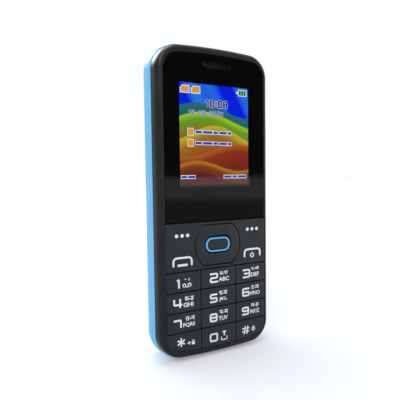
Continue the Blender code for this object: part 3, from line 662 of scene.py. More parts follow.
# Centre lines of the digits, from the low left corner of their box to the top right one
DIGITS = {
    "0": [(((0, 0), (1, 0), (1, 1), (0, 1)), True)],
    "1": [(((0, 0.82), (0.9, 1), (0.9, -0.1)), False)],
    "2": [(((-0.1, 1), (1, 1), (1, 0.5), (0, 0.5), (0, 0), (1.1, 0)), False)],
    "3": [(((-0.1, 1), (1, 1), (1, 0), (-0.1, 0)), False), (((0.1, 0.5), (0.9, 0.5)), False)],
    "4": [(((0, 1.1), (0, 0.32), (1.1, 0.32)), False), (((0.8, 1.1), (0.8, 0.44)), False),
          (((0.8, 0.2), (0.8, -0.1)), False)],
    "5": [(((1.1, 1), (0, 1), (0, 0.5), (1, 0.5), (1, 0), (-0.1, 0)), False)],
    "6": [(((1.1, 1), (0, 1), (0, 0), (1, 0), (1, 0.5), (0.1, 0.5)), False)],
    "7": [(((-0.1, 1), (0.9, 1), (0.9, -0.1)), False)],
    "8": [(((0, 0), (1, 0), (1, 1), (0, 1)), True), (((0.1, 0.5), (0.9, 0.5)), False)],
    "9": [(((-0.1, 0), (1, 0), (1, 1), (0, 1), (0, 0.5), (0.9, 0.5)), False)],
}

# Left, right, foot and top in millimetres of each number key's digit, letters and script range
NUMBER_SIGNS = {
    "1": ((-17.11, -15.6, 26.95, 30.4), None, None),
    "2": ((-3.67, -0.23, 27.1, 30.75), ("ABC", 0.05, 4.53, 27.34, 28.94), ("अ-ऋ", 0.33, 4.06, 29.6, 31.0)),
    "3": ((10.6, 14.02, 27.1, 30.53), ("DEF", 14.3, 18.12, 27.34, 28.94), ("ए-औ", 14.55, 18.13, 29.6, 31.3)),
    "4": ((-18.31, -14.79, 20.0, 23.3), ("GHI", -14.4, -10.49, 20.0, 21.6), ("क-ङ", -13.89, -10.25, 22.15, 23.69)),
    "5": ((-3.77, -0.54, 19.75, 23.1), ("JKL", 0.05, 3.6, 19.85, 21.4), ("च-ञ", 0.12, 3.66, 22.2, 23.75)),
    "6": ((10.3, 13.72, 19.97, 23.3), ("MNO", 14.05, 18.45, 20.1, 21.7), ("ट-ण", 14.5, 18.09, 22.4, 23.87)),
    "7": ((-18.3, -14.86, 12.8, 15.92), ("PQRS", -14.6, -9.91, 12.65, 14.3), ("त-न", -13.66, -9.97, 15.0, 16.5)),
    "8": ((-3.87, -0.63, 12.55, 15.8), ("TUV", -0.2, 3.78, 12.7, 14.3), ("प-म", 0.26, 3.91, 15.05, 16.55)),
    "9": ((10.14, 13.39, 12.7, 15.94), ("WXYZ", 13.75, 18.2, 12.95, 14.55), ("य-ह", 14.28, 17.9, 15.2, 16.8)),
    "0": ((-3.96, -0.5, 5.15, 8.4), None, None),
}

# Small signs in millimetres: dot and ring by place and size, line and loop by width, rounding and points
SIGNS = {
    "1": (
        ("ring", -13.95, 27.78, 0.74, 0.34),
        ("ring", -11.9, 27.78, 0.74, 0.34),
        ("line", 0.34, (-13.95, 27.2), (-11.9, 27.2)),
        ("dot", -13.5, 29.95, 0.24),
        ("dot", -12.05, 29.95, 0.24),
        ("line", 0.34, (-12.05, 29.35), (-12.05, 29.62)),
    ),
    "0": (
        ("line", 0.36, 0.15, (0.95, 6.45), (0.95, 5.25), (3.35, 5.25), (3.35, 6.45)),
        ("area", (2.95, 8.5), (1.5, 8.5), (1.5, 8.1), (1.95, 7.7), (1.95, 6.75), (2.5, 6.75), (2.5, 7.7),
         (2.95, 8.1)),
    ),
    "star": (
        ("line", 0.34, (-12.99, 6.84), (-11.75, 6.84)),
        ("line", 0.34, (-12.37, 6.23), (-12.37, 6.68)),
        ("line", 0.34, (-12.37, 7.0), (-12.37, 7.45)),
        ("area", (-10.1, 7.0), (-11.38, 7.0), (-11.38, 6.03), (-10.1, 6.03)),
        ("line", 0.24, 0.3, (-11.15, 7.0), (-11.15, 7.6), (-10.33, 7.6), (-10.33, 7.0)),
    ),
    "hash": (
        ("loop", 0.3, 0.3, (14.5, 6.5), (14.85, 6.9), (14.85, 7.5), (15.36, 8.0), (15.87, 7.5), (15.87, 6.9),
         (16.2, 6.5)),
        ("dot", 15.36, 7.15, 0.26),
        ("dot", 15.36, 6.1, 0.22),
    ),
    "function": (
        ("dot", -16.67, 45.4, 0.65),
        ("dot", -14.53, 45.4, 0.65),
        ("dot", -12.39, 45.4, 0.65),
        ("dot", 12.83, 45.8, 0.65),
        ("dot", 14.97, 45.8, 0.65),
        ("dot", 17.11, 45.8, 0.65),
        ("line", 0.72, 1.5, (-18.0, 34.7), (-18.0, 37.65), (-10.9, 37.65), (-10.9, 34.7)),
        ("line", 0.72, 1.5, (11.5, 35.2), (11.5, 38.05), (18.6, 38.05), (18.6, 35.2)),
        ("line", 0.828, (-16.45, 35.05), (-12.5, 35.05)),
        ("ring", 14.95, 35.75, 0.92, 0.42),
        ("line", 0.36, (14.95, 36.35), (14.95, 36.9)),
    ),
}
key_names = ("1", "2", "3", "4", "5", "6", "7", "8", "9", "star", "0", "hash")


# Shader nodes


class Net:
    """Adds nodes to a tree and joins them."""

    def __init__(self, tree):
        self.tree = tree

    def node(self, kind, inputs=(), **settings):
        made = self.tree.nodes.new("ShaderNode" + kind)
        for key, value in settings.items():
            setattr(made, key, value)
        for key, value in dict(inputs).items():
            self.feed(made.inputs[key], value)
        return made

    def feed(self, socket, value):
        if isinstance(value, bpy.types.NodeSocket):
            self.tree.links.new(value, socket)
        elif isinstance(value, tuple) and len(value) == 3 and socket.type == "RGBA":
            socket.default_value = (*value, 1)
        else:
            socket.default_value = value

    def math(self, operation, *values):
        return self.node("Math", enumerate(values), operation=operation).outputs[0]

    def mix(self, share, first, second, blend="MIX"):
        """Mixes two colours."""
        made = self.node("Mix", {0: share, 6: first, 7: second}, data_type="RGBA", blend_type=blend)
        return made.outputs[2]

    def vary(self, value, low, high, from_low=0.0, from_high=1.0):
        inputs = {"Value": value, "From Min": from_low, "From Max": from_high, "To Min": low, "To Max": high}
        return self.node("MapRange", inputs).outputs[0]

    def here(self):
        """Place on the piece, in metres."""
        return self.node("TexCoord").outputs["Object"]

    def noise(self, place, scale, detail=2.0, roughness=0.5):
        inputs = {"Vector": place, "Scale": scale, "Detail": detail, "Roughness": roughness}
        return self.node("TexNoise", inputs).outputs[0]

    def stretched(self, place, scale):
        inputs = {"Vector": place, "Scale": scale}
        return self.node("Mapping", inputs).outputs[0]


def group(name, inputs, outputs, fill):
    """Shader node group with named sockets, built once."""
    tree = bpy.data.node_groups.get(name)
    if tree:
        return tree
    tree = bpy.data.node_groups.new(name, "ShaderNodeTree")
    for label, kind, default in inputs:
        socket = tree.interface.new_socket(label, in_out="INPUT", socket_type=kind)
        socket.default_value = default
    for label, kind in outputs:
        tree.interface.new_socket(label, in_out="OUTPUT", socket_type=kind)
    net = Net(tree)
    entry = tree.nodes.new("NodeGroupInput")
    end = tree.nodes.new("NodeGroupOutput")
    for label, value in fill(net, entry.outputs).items():
        tree.links.new(value, end.inputs[label])
    return tree


number = "NodeSocketFloat"
colour = "NodeSocketColor"
dark = (0, 0, 0, 1)


def grain(net, given):
    """Fine spark-eroded grain of a mould, with faint patches left by handling."""
    here = net.here()
    fine = net.noise(here, given["Grain Scale"], 3.0, 0.6)
    patches = net.noise(here, given["Patch Scale"], 4.0, 0.55)
    tone = net.math("MULTIPLY_ADD", net.vary(patches, -1, 1.2, 0.3, 0.7), given["Swing"], 1)
    shade = net.mix(1.0, given["Colour"], tone, "MULTIPLY")
    rough = net.math("ADD", given["Roughness"], net.vary(patches, -0.05, 0.06, 0.3, 0.7))
    return {"Colour": shade, "Roughness": rough, "Height": fine}


def smudges(net, given):
    """Finger marks and wiped streaks that dull a glossy face."""
    here = net.here()
    marks = net.noise(here, given["Scale"], 5.0, 0.6)
    streaks = net.noise(net.stretched(here, (60, 60, 900)), 1.0, 3.0, 0.5)
    both = net.math("MULTIPLY", net.vary(marks, 0, 1, 0.45, 0.75), net.vary(streaks, 0.4, 1, 0.3, 0.7))
    rough = net.math("MULTIPLY_ADD", both, given["Amount"], given["Roughness"])
    return {"Roughness": rough, "Mask": both}


def dust(net, given):
    """Sparse pale specks."""
    inputs = {"Vector": net.here(), "Scale": given["Scale"]}
    cells = net.node("TexVoronoi", inputs).outputs["Distance"]
    near = net.math("LESS_THAN", cells, given["Size"])
    thin = net.vary(net.noise(net.here(), 420.0, 2.0), 0, 1, 0.55, 0.62)
    mask = net.math("MULTIPLY", near, thin)
    return {"Colour": net.mix(net.math("MULTIPLY", mask, 0.05), given["Colour"], (0.6, 0.6, 0.6)), "Mask": mask}


def brushed(net, given):
    """Rolled sheet metal: fine lines along one way and a slow change of tone."""
    here = net.here()
    lines = net.noise(net.stretched(here, (400, 9000, 9000)), 1.0, 3.0, 0.6)
    slow = net.noise(here, 180.0, 3.0)
    shade = net.mix(1.0, given["Colour"], net.vary(slow, 0.85, 1.1, 0.3, 0.7), "MULTIPLY")
    rough = net.math("ADD", given["Roughness"], net.vary(lines, -0.08, 0.1, 0.3, 0.7))
    return {"Colour": shade, "Roughness": rough, "Height": lines}


def pixels(net, given):
    """Fine dark grid between the cells of the display."""
    split = net.node("SeparateXYZ", {0: net.here()}).outputs
    masks = []
    for way in ("X", "Z"):
        wave = net.math("FRACT", net.math("DIVIDE", split[way], pixel_pitch))
        masks.append(net.math("GREATER_THAN", wave, 0.1))
    cell = net.math("MULTIPLY", *masks)
    return {"Colour": net.mix(net.vary(cell, 0.22, 0), given["Colour"], dark)}


def use(net, name, fill, outputs, **values):
    """Places a shared group in a material with its own values and gives its outputs."""
    inputs = []
    for label, value in values.items():
        kind = colour if isinstance(value, tuple) or getattr(value, "type", "") == "RGBA" else number
        default = dark if kind == colour else 0.5
        inputs.append((label.replace("_", " "), kind, default))
    tree = group(name, inputs, outputs, fill)
    made = net.node("Group", node_tree=tree)
    for label, value in values.items():
        net.feed(made.inputs[label.replace("_", " ")], value)
    return made.outputs


surface = [("Colour", colour), ("Roughness", number), ("Height", number)]
rough_mask = [("Roughness", number), ("Mask", number)]
tint_mask = [("Colour", colour), ("Mask", number)]


def blank(name):
    """New material with its Principled shader."""
    made = bpy.data.materials.new(name)
    made.use_nodes = True
    net = Net(made.node_tree)
    return made, net, made.node_tree.nodes["Principled BSDF"]


def bump(net, shader, height, strength, distance):
    inputs = {"Height": height, "Strength": strength, "Distance": distance}
    net.feed(shader.inputs["Normal"], net.node("Bump", inputs).outputs[0])


def plastic(name, shade, rough, grain_scale, relief, coat=0.0, dusty=False, swing=0.1):
    """Moulded or painted plastic; swing is how much the colour varies."""
    made, net, shader = blank(name)
    out = use(
        net, "Moulded grain", grain, surface,
        Colour=shade, Roughness=rough, Grain_Scale=grain_scale, Patch_Scale=130.0, Swing=swing,
    )
    tone = out["Colour"]
    if dusty:
        tone = use(net, "Dust specks", dust, tint_mask, Colour=tone, Scale=650.0, Size=0.07)["Colour"]
    net.feed(shader.inputs["Base Color"], tone)
    net.feed(shader.inputs["Roughness"], out["Roughness"])
    shader.inputs["Coat Weight"].default_value = coat
    shader.inputs["Coat Roughness"].default_value = 0.08
    bump(net, shader, out["Height"], relief, 0.02 * MM)
    return made


def metal(name, shade, rough):
    made, net, shader = blank(name)
    out = use(net, "Rolled metal", brushed, surface, Colour=shade, Roughness=rough)
    net.feed(shader.inputs["Base Color"], out["Colour"])
    net.feed(shader.inputs["Roughness"], out["Roughness"])
    shader.inputs["Metallic"].default_value = 1.0
    bump(net, shader, out["Height"], 0.15, 0.01 * MM)
    return made


def gloss(name, shade, rough, amount):
    """Glossy printed pane with finger marks."""
    made, net, shader = blank(name)
    marks = use(net, "Finger marks", smudges, rough_mask, Roughness=rough, Amount=amount, Scale=160.0)
    tone = use(net, "Dust specks", dust, tint_mask, Colour=shade, Scale=650.0, Size=0.05)["Colour"]
    net.feed(shader.inputs["Base Color"], tone)
    net.feed(shader.inputs["Roughness"], marks["Roughness"])
    return made


def clear(name, shade, rough, amount):
    """Clear moulded plastic."""
    made, net, shader = blank(name)
    marks = use(net, "Finger marks", smudges, rough_mask, Roughness=rough, Amount=amount, Scale=160.0)
    net.feed(shader.inputs["Roughness"], marks["Roughness"])
    shader.inputs["Base Color"].default_value = (*shade, 1)
    shader.inputs["Transmission Weight"].default_value = 1.0
    shader.inputs["IOR"].default_value = 1.49
    return made


def lit(name, shade, strength=1.0):
    """Cells of the display that show one colour."""
    made, net, shader = blank(name)
    here = net.here()
    tone = net.mix(1.0, shade, net.vary(net.noise(here, 500.0), 0.92, 1.05, 0.3, 0.7), "MULTIPLY")
    tone = use(net, "Pixel grid", pixels, [("Colour", colour)], Colour=tone)["Colour"]
    net.feed(shader.inputs["Emission Color"], tone)
    shader.inputs["Emission Strength"].default_value = strength
    shader.inputs["Base Color"].default_value = dark
    shader.inputs["Specular IOR Level"].default_value = 0.0
    return made


def picture(name):
    """Abstract waves of colour on the display, inside a black border."""
    made, net, shader = blank(name)
    split = net.node("SeparateXYZ", {0: net.here()}).outputs
    half_height = (picture_top - picture_foot) / 2
    u = net.math("DIVIDE", split["X"], picture_half)
    v = net.math("DIVIDE", net.math("SUBTRACT", split["Z"], (picture_top + picture_foot) / 2), half_height)
    slant = net.math("ADD", net.math("MULTIPLY", u, 0.8), net.math("MULTIPLY", v, 0.55))
    streak = net.math("SINE", net.math("MULTIPLY_ADD", slant, 5.2, 0.7))
    second = net.math("SINE", net.math("MULTIPLY_ADD", slant, 11.0, 2.4))
    light = net.math("MULTIPLY_ADD", second, 0.35, net.math("MULTIPLY", streak, 0.65))
    tone = net.mix(net.vary(light, 0, 1, -0.4, 1.0), (0.0, 0.012, 0.78), (0.03, 0.24, 0.86))
    for middle, swing, turn, phase, depth, crest, body, foot in WAVES:
        sway = net.math("SINE", net.math("MULTIPLY_ADD", u, turn, phase))
        edge = net.math("MULTIPLY_ADD", sway, swing, middle)
        below = net.math("SUBTRACT", edge, v)
        inner = net.mix(net.vary(below, 0, 1, 0.0, depth), crest, body)
        inner = net.mix(net.vary(below, 0, 1, depth, depth * 3), inner, foot)
        tone = net.mix(net.vary(below, 0, 1, -0.012, 0.025), tone, inner)
    inside = net.math("MULTIPLY", net.math("LESS_THAN", net.math("ABSOLUTE", u), 1.0),
                      net.math("LESS_THAN", net.math("ABSOLUTE", v), 1.0))
    tone = net.mix(inside, dark, tone)
    tone = use(net, "Pixel grid", pixels, [("Colour", colour)], Colour=tone)["Colour"]
    net.feed(shader.inputs["Emission Color"], tone)
    shader.inputs["Emission Strength"].default_value = 1.0
    shader.inputs["Base Color"].default_value = dark
    shader.inputs["Roughness"].default_value = 0.35
    shader.inputs["Specular IOR Level"].default_value = 0.0
    return made


# Waves of the picture from the top: middle, swing, turn, phase, depth, and colours at crest, body and foot
WAVES = (
    (0.50, 0.13, 2.1, 2.6, 0.30, (0.02, 0.16, 0.20), (0.01, 0.10, 0.08), (0.02, 0.16, 0.03)),
    (0.30, 0.16, 1.9, 2.2, 0.14, (0.42, 0.62, 0.02), (0.12, 0.35, 0.02), (0.30, 0.12, 0.02)),
    (0.02, 0.18, 2.3, 1.6, 0.22, (0.55, 0.50, 0.02), (0.36, 0.15, 0.02), (0.30, 0.05, 0.01)),
    (-0.30, 0.14, 2.0, 0.2, 0.16, (0.45, 0.13, 0.02), (0.28, 0.03, 0.01), (0.18, 0.02, 0.01)),
    (-0.62, 0.10, 2.6, 2.9, 0.10, (0.50, 0.24, 0.02), (0.24, 0.05, 0.01), (0.09, 0.01, 0.01)),
)


def grid_board(name):
    """Green solder mask with faint copper tracks."""
    made, net, shader = blank(name)
    here = net.here()
    split = net.node("SeparateXYZ", {0: here}).outputs
    bend = net.math("MULTIPLY", net.noise(here, 160.0, 1.0), 4 * MM)
    lines = net.math("SINE", net.math("MULTIPLY", net.math("ADD", split["X"], bend), 9000.0))
    runs = net.vary(net.noise(net.stretched(here, (300, 300, 90)), 1.0, 1.0), 0, 1, 0.5, 0.56)
    track = net.math("MULTIPLY", net.vary(lines, 0, 1, 0.2, 0.5), runs)
    tone = net.mix(track, (0.012, 0.11, 0.045), (0.03, 0.22, 0.09))
    net.feed(shader.inputs["Base Color"], tone)
    net.feed(shader.inputs["Roughness"], net.vary(track, 0.42, 0.3))
    bump(net, shader, track, 0.4, 0.03 * MM)
    return made


makers = {
    "Satin black plastic": lambda n, c: plastic(n, tuple(c.housing), 0.34, 14000.0, 0.35, dusty=True),
    "Light blue cover": lambda n, c: plastic(n, tuple(c.band), 0.40, 5200.0, 0.8, coat=0.1, dusty=True, swing=0.025),
    "Key lacquer": lambda n, c: plastic(n, tuple(c.keys), 0.40, 15000.0, 0.25, coat=0.12, dusty=True),
    "Light blue band": lambda n, c: plastic(n, tuple(c.band), 0.38, 12000.0, 0.15, coat=0.08, swing=0.025),
    "Light blue ring": lambda n, c: plastic(n, tuple(c.ring), 0.30, 12000.0, 0.12, coat=0.3, swing=0.03),
    "White print": lambda n, c: plastic(n, tuple(c.print_white), 0.5, 16000.0, 0.3),
    "Black pane": lambda n, c: gloss(n, (0.0012, 0.0013, 0.0014), 0.03, 0.10),
    "Clear pane": lambda n, c: clear(n, (1.0, 1.0, 1.0), 0.0, 0.02),
    "Clear lens": lambda n, c: clear(n, (0.92, 0.95, 0.97), 0.06, 0.1),
    "Display picture": lambda n, c: picture(n),
    "Sign white": lambda n, c: lit(n, (0.78, 0.84, 1.0)),
    "Sign ink": lambda n, c: lit(n, (0.002, 0.004, 0.05)),
    "Sign blue": lambda n, c: lit(n, (0.03, 0.05, 0.42)),
    "Sign orange": lambda n, c: lit(n, (0.78, 0.36, 0.03)),
    "Sign green": lambda n, c: lit(n, (0.01, 0.22, 0.02)),
    "Sign pink": lambda n, c: lit(n, (0.70, 0.30, 0.42)),
    "Dark mesh": lambda n, c: metal(n, (0.035, 0.035, 0.038), 0.5),
    "Black silicone": lambda n, c: plastic(n, (0.02, 0.02, 0.022), 0.7, 6000.0, 0.3),
    "Solder mask": lambda n, c: grid_board(n),
    "Nickel sheet": lambda n, c: metal(n, (0.62, 0.63, 0.65), 0.32),
    "Spring steel": lambda n, c: metal(n, (0.42, 0.43, 0.45), 0.33),
    "Gold plate": lambda n, c: metal(n, (0.80, 0.58, 0.22), 0.28),
    "Chassis plastic": lambda n, c: plastic(n, (0.03, 0.03, 0.032), 0.55, 5000.0, 0.8),
    "Battery wrap": lambda n, c: plastic(n, (0.60, 0.62, 0.64), 0.42, 7000.0, 0.15, coat=0.2),
    "Yellow phosphor": lambda n, c: plastic(n, (0.90, 0.78, 0.30), 0.45, 9000.0, 0.4),
}


def finish(name):
    """Material of that name, made when it is first asked for."""
    found = bpy.data.materials.get(name)
    return found or makers[name](name, bpy.context.scene.phone_colours)


# Settings of the add-on


class PhoneSizes(bpy.types.PropertyGroup):
    key_edge: FloatProperty(
        name="Key Edge", description="Radius of the round front edge of a key",
        default=0.2 * MM, min=0.05 * MM, max=0.22 * MM, unit="LENGTH", precision=5,
    )
    key_crown: FloatProperty(
        name="Key Crown", description="Drop from the middle of a key to its edge",
        default=0.03 * MM, min=0, max=0.1 * MM, unit="LENGTH", precision=5,
    )
    print_height: FloatProperty(
        name="Print Height", description="How far the white signs stand proud of the keys",
        default=0.02 * MM, min=0.005 * MM, max=0.05 * MM, unit="LENGTH", precision=5,
    )
    print_line: FloatProperty(
        name="Print Line", description="Width of the strokes of a digit",
        default=0.68 * MM, min=0.3 * MM, max=0.9 * MM, unit="LENGTH", precision=5,
    )


class PhoneColours(bpy.types.PropertyGroup):
    housing: FloatVectorProperty(
        name="Housing", description="Colour of the front shell",
        default=(0.018, 0.020, 0.023), subtype="COLOR", min=0, max=1,
    )
    keys: FloatVectorProperty(
        name="Keys", description="Colour of the keys",
        default=(0.029, 0.033, 0.037), subtype="COLOR", min=0, max=1,
    )
    band: FloatVectorProperty(
        name="Band", description="Colour of the band round the waist and the back cover",
        default=(0.20, 0.60, 0.97), subtype="COLOR", min=0, max=1,
    )
    ring: FloatVectorProperty(
        name="Ring", description="Colour of the ring round the middle key",
        default=(0.15, 0.52, 0.97), subtype="COLOR", min=0, max=1,
    )
    print_white: FloatVectorProperty(
        name="Print", description="Colour of the signs on the keys",
        default=(0.95, 0.96, 0.97), subtype="COLOR", min=0, max=1,
    )


class PhoneStage(bpy.types.PropertyGroup):
    sky: FloatProperty(name="Sky", description="Plain level of the light from all sides", default=0.62, min=0, max=2)
    lamp: FloatProperty(
        name="Lamp", description="Power of the soft lamp at the upper left", default=0.9, min=0, max=10, unit="POWER"
    )


class PHONE_OT_front_shell(bpy.types.Operator):
    """Front shell with its round rim, recess, openings and screw bosses"""

    bl_idname = "phone.front_shell"
    bl_label = "Front Shell"

    def execute(self, context):
        rings = [(phone_outline(land_inset), 0)]
        for inset, depth in quarter(land_inset, side_inset, 0, rim_round_depth, True):
            rings.append((phone_outline(inset), depth))
        rings.append((phone_outline(rim_inset), rim_depth))
        rings.append((phone_outline(front_inside), rim_depth))
        rings.append((phone_outline(front_inside), front_wall_back))
        shell = loft("front_shell", rings)

        def recess(inset):
            return field_shape(inset - recess_gap)

        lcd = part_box("lcd_frame")
        key_room = field_shape(-recess_gap)
        top_edge = plate_top + key_seam / 2 + gap
        key_room = [(x, min(z, top_edge)) for x, z in key_room]
        opening_foot = keypad_margin + key_opening_lift
        opening = rectangle(-key_opening_half, key_opening_half, opening_foot, key_opening_top)
        display_opening = rectangle(lcd[0].x - gap, lcd[1].x + gap, lcd[0].z - gap, lcd[1].z + gap)
        through = front_wall_back + overrun
        carve(shell, flared("recess", recess, 0, window_ledge, rim_edge))
        carve(shell, prism("key_room", key_room, window_ledge / 2, keypad_ledge))
        carve(
            shell,
            prism("key_opening", opening, window_ledge / 2, through),
            prism("display_opening", display_opening, window_ledge / 2, through),
            prism("earpiece_port", slot_shape(0), window_ledge / 2, through),
        )
        for side in (-1, 1):
            for z in screw_heights:
                outline = circle(side * screw_column, z, boss_radius)
                join(shell, prism("boss", outline, front_wall_back - rim_edge, rim_depth))
                hole = circle(side * screw_column, z, boss_hole_radius)
                carve(shell, prism("boss_hole", hole, front_wall_back, rim_depth + overrun))
        dress(shell, "phone_body", "satin_black", finish("Satin black plastic"), "front_housing")
        return {"FINISHED"}


class PHONE_OT_band(bpy.types.Operator):
    """Light blue band round the waist, with the openings of the top end"""

    bl_idname = "phone.band"
    bl_label = "Blue Band"

    def execute(self, context):
        profile = [(trim_wall, trim_front), (trim_front_inset + trim_edge, trim_front)]
        start = trim_front + trim_edge
        for step in range(round_steps + 1):
            share = step / round_steps
            profile.append((trim_front_inset * (1 - share) ** 2, start + (trim_crest - start) * share))
        end = trim_back - trim_edge
        for step in range(1, round_steps + 1):
            share = step / round_steps
            profile.append((trim_back_inset * share**2, trim_crest + (end - trim_crest) * share))
        profile += [(trim_back_inset + trim_edge, trim_back), (trim_wall, trim_back)]
        band = loft("blue_band", [(phone_outline(inset), depth) for inset, depth in profile], hollow=True)
        top = phone_height + overrun
        low = phone_height - trim_wall - overrun
        foot = rectangle(-phone_half, phone_half, -overrun, 0)
        jack, usb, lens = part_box("audio_jack"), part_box("usb_socket"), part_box("torch_lens")
        jack_x, jack_y = (jack[0].x + jack[1].x) / 2, jack[0].y + jack_wall + jack_bore
        lens_y = (lens[0].y + lens[1].y) / 2
        carve(
            band,
            prism("foot_cut", foot, -overrun, trim_back + overrun),
            prism("jack_hole", circle(jack_x, jack_y, jack_bore), low, top, "Z"),
            prism("torch_hole", circle(0, lens_y, torch_radius + gap), low, top, "Z"),
            prism("usb_hole", usb_shape(usb, -gap), low, top, "Z"),
            prism("sound_port", circle(0, y_at(port_depth), port_radius), -overrun, trim_wall + overrun, "Z"),
        )
        dress(band, "phone_body", "trim_blue", finish("Light blue band"), "trim_ring")
        return {"FINISHED"}


def usb_shape(box, inset):
    """Plan outline of the charging socket at an inset."""
    low, high = box
    radii = ((high.y - low.y) / 4,) * 4
    return panel(low.x, high.x, low.y, high.y, radii, inset, steps=small_steps)


class PHONE_OT_back_cover(bpy.types.Operator):
    """Back cover with speaker slots and shallow thumb grooves"""

    bl_idname = "phone.back_cover"
    bl_label = "Back Cover"

    def execute(self, context):
        inner = [(cover_side_inside, cover_front)]
        inner += quarter(cover_side_inside, cover_deepest, cover_front, cover_inside, False)
        outer = [(cover_inset, cover_front)]
        outer += quarter(cover_inset, cover_deepest, cover_front, cover_back, False)
        cover = loft("back_cover", [(phone_outline(inset), depth) for inset, depth in inner[::-1] + outer])
        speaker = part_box("loudspeaker")
        x, z = (speaker[0].x + speaker[1].x) / 2, (speaker[0].z + speaker[1].z) / 2
        middle = (speaker_slots - 1) / 2
        for index in range(speaker_slots):
            height = z + (index - middle) * speaker_slot_pitch
            size = (speaker_slot_half, speaker_slot_radius, cover_back - cover_inside + overrun)
            self.slot(cover, x, height, *size, speaker_slot_edge)
        middle = (grooves - 1) / 2
        for index in range(grooves):
            half = groove_half - abs(index - middle) * groove_step
            height = groove_foot + index * groove_pitch
            self.slot(cover, 0, height, half, groove_radius, groove_depth, groove_edge)
        dress(cover, "battery_cover", "trim_blue", finish("Light blue cover"), "battery_cover")
        return {"FINISHED"}

    def slot(self, cover, x, height, half, radius, depth, edge):
        """Cuts a round-ended slot with a round edge into the back."""

        def shape(inset):
            box = (x - half, x + half, height - radius, height + radius)
            return panel(*box, (radius,) * 4, inset, steps=small_steps)

        carve(cover, flared("slot", shape, cover_back, cover_back - depth, edge, outward=1))


class PHONE_OT_window(bpy.types.Operator):
    """Pane: black print round a clear opening over the display, with the earpiece slot"""

    bl_idname = "phone.window"
    bl_label = "Window"

    def execute(self, context):
        rings = [(window_shape(window_edge), 0)]
        for inset, depth in quarter(window_edge, 0, 0, window_edge, True, small_steps):
            rings.append((window_shape(inset), depth))
        rings.append((window_shape(0), window_thickness))
        pane = loft("window", rings)
        carve(pane, flared("slot", slot_shape, 0, window_thickness + overrun, window_edge))
        mesh = bmesh.new()
        mesh.from_mesh(pane.data)
        planes = [((side * aperture_half, 0, 0), (1, 0, 0)) for side in (-1, 1)]
        planes += [((0, 0, height), (0, 0, 1)) for height in (aperture_foot, aperture_top)]
        for point, normal in planes:
            parts = mesh.verts[:] + mesh.edges[:] + mesh.faces[:]
            bmesh.ops.bisect_plane(mesh, geom=parts, dist=weld, plane_co=point, plane_no=normal)
        pane.data.materials.clear()
        pane.data.materials.append(finish("Black pane"))
        pane.data.materials.append(finish("Clear pane"))
        for face in mesh.faces:
            middle = face.calc_center_median()
            inside = abs(middle.x) < aperture_half and aperture_foot < middle.z < aperture_top
            face.material_index = 1 if inside and abs(face.normal.y) > 0.9 else 0
        mesh.to_mesh(pane.data)
        mesh.free()
        dress(pane, "phone_body", "window_gloss", None, "display_window")
        return {"FINISHED"}


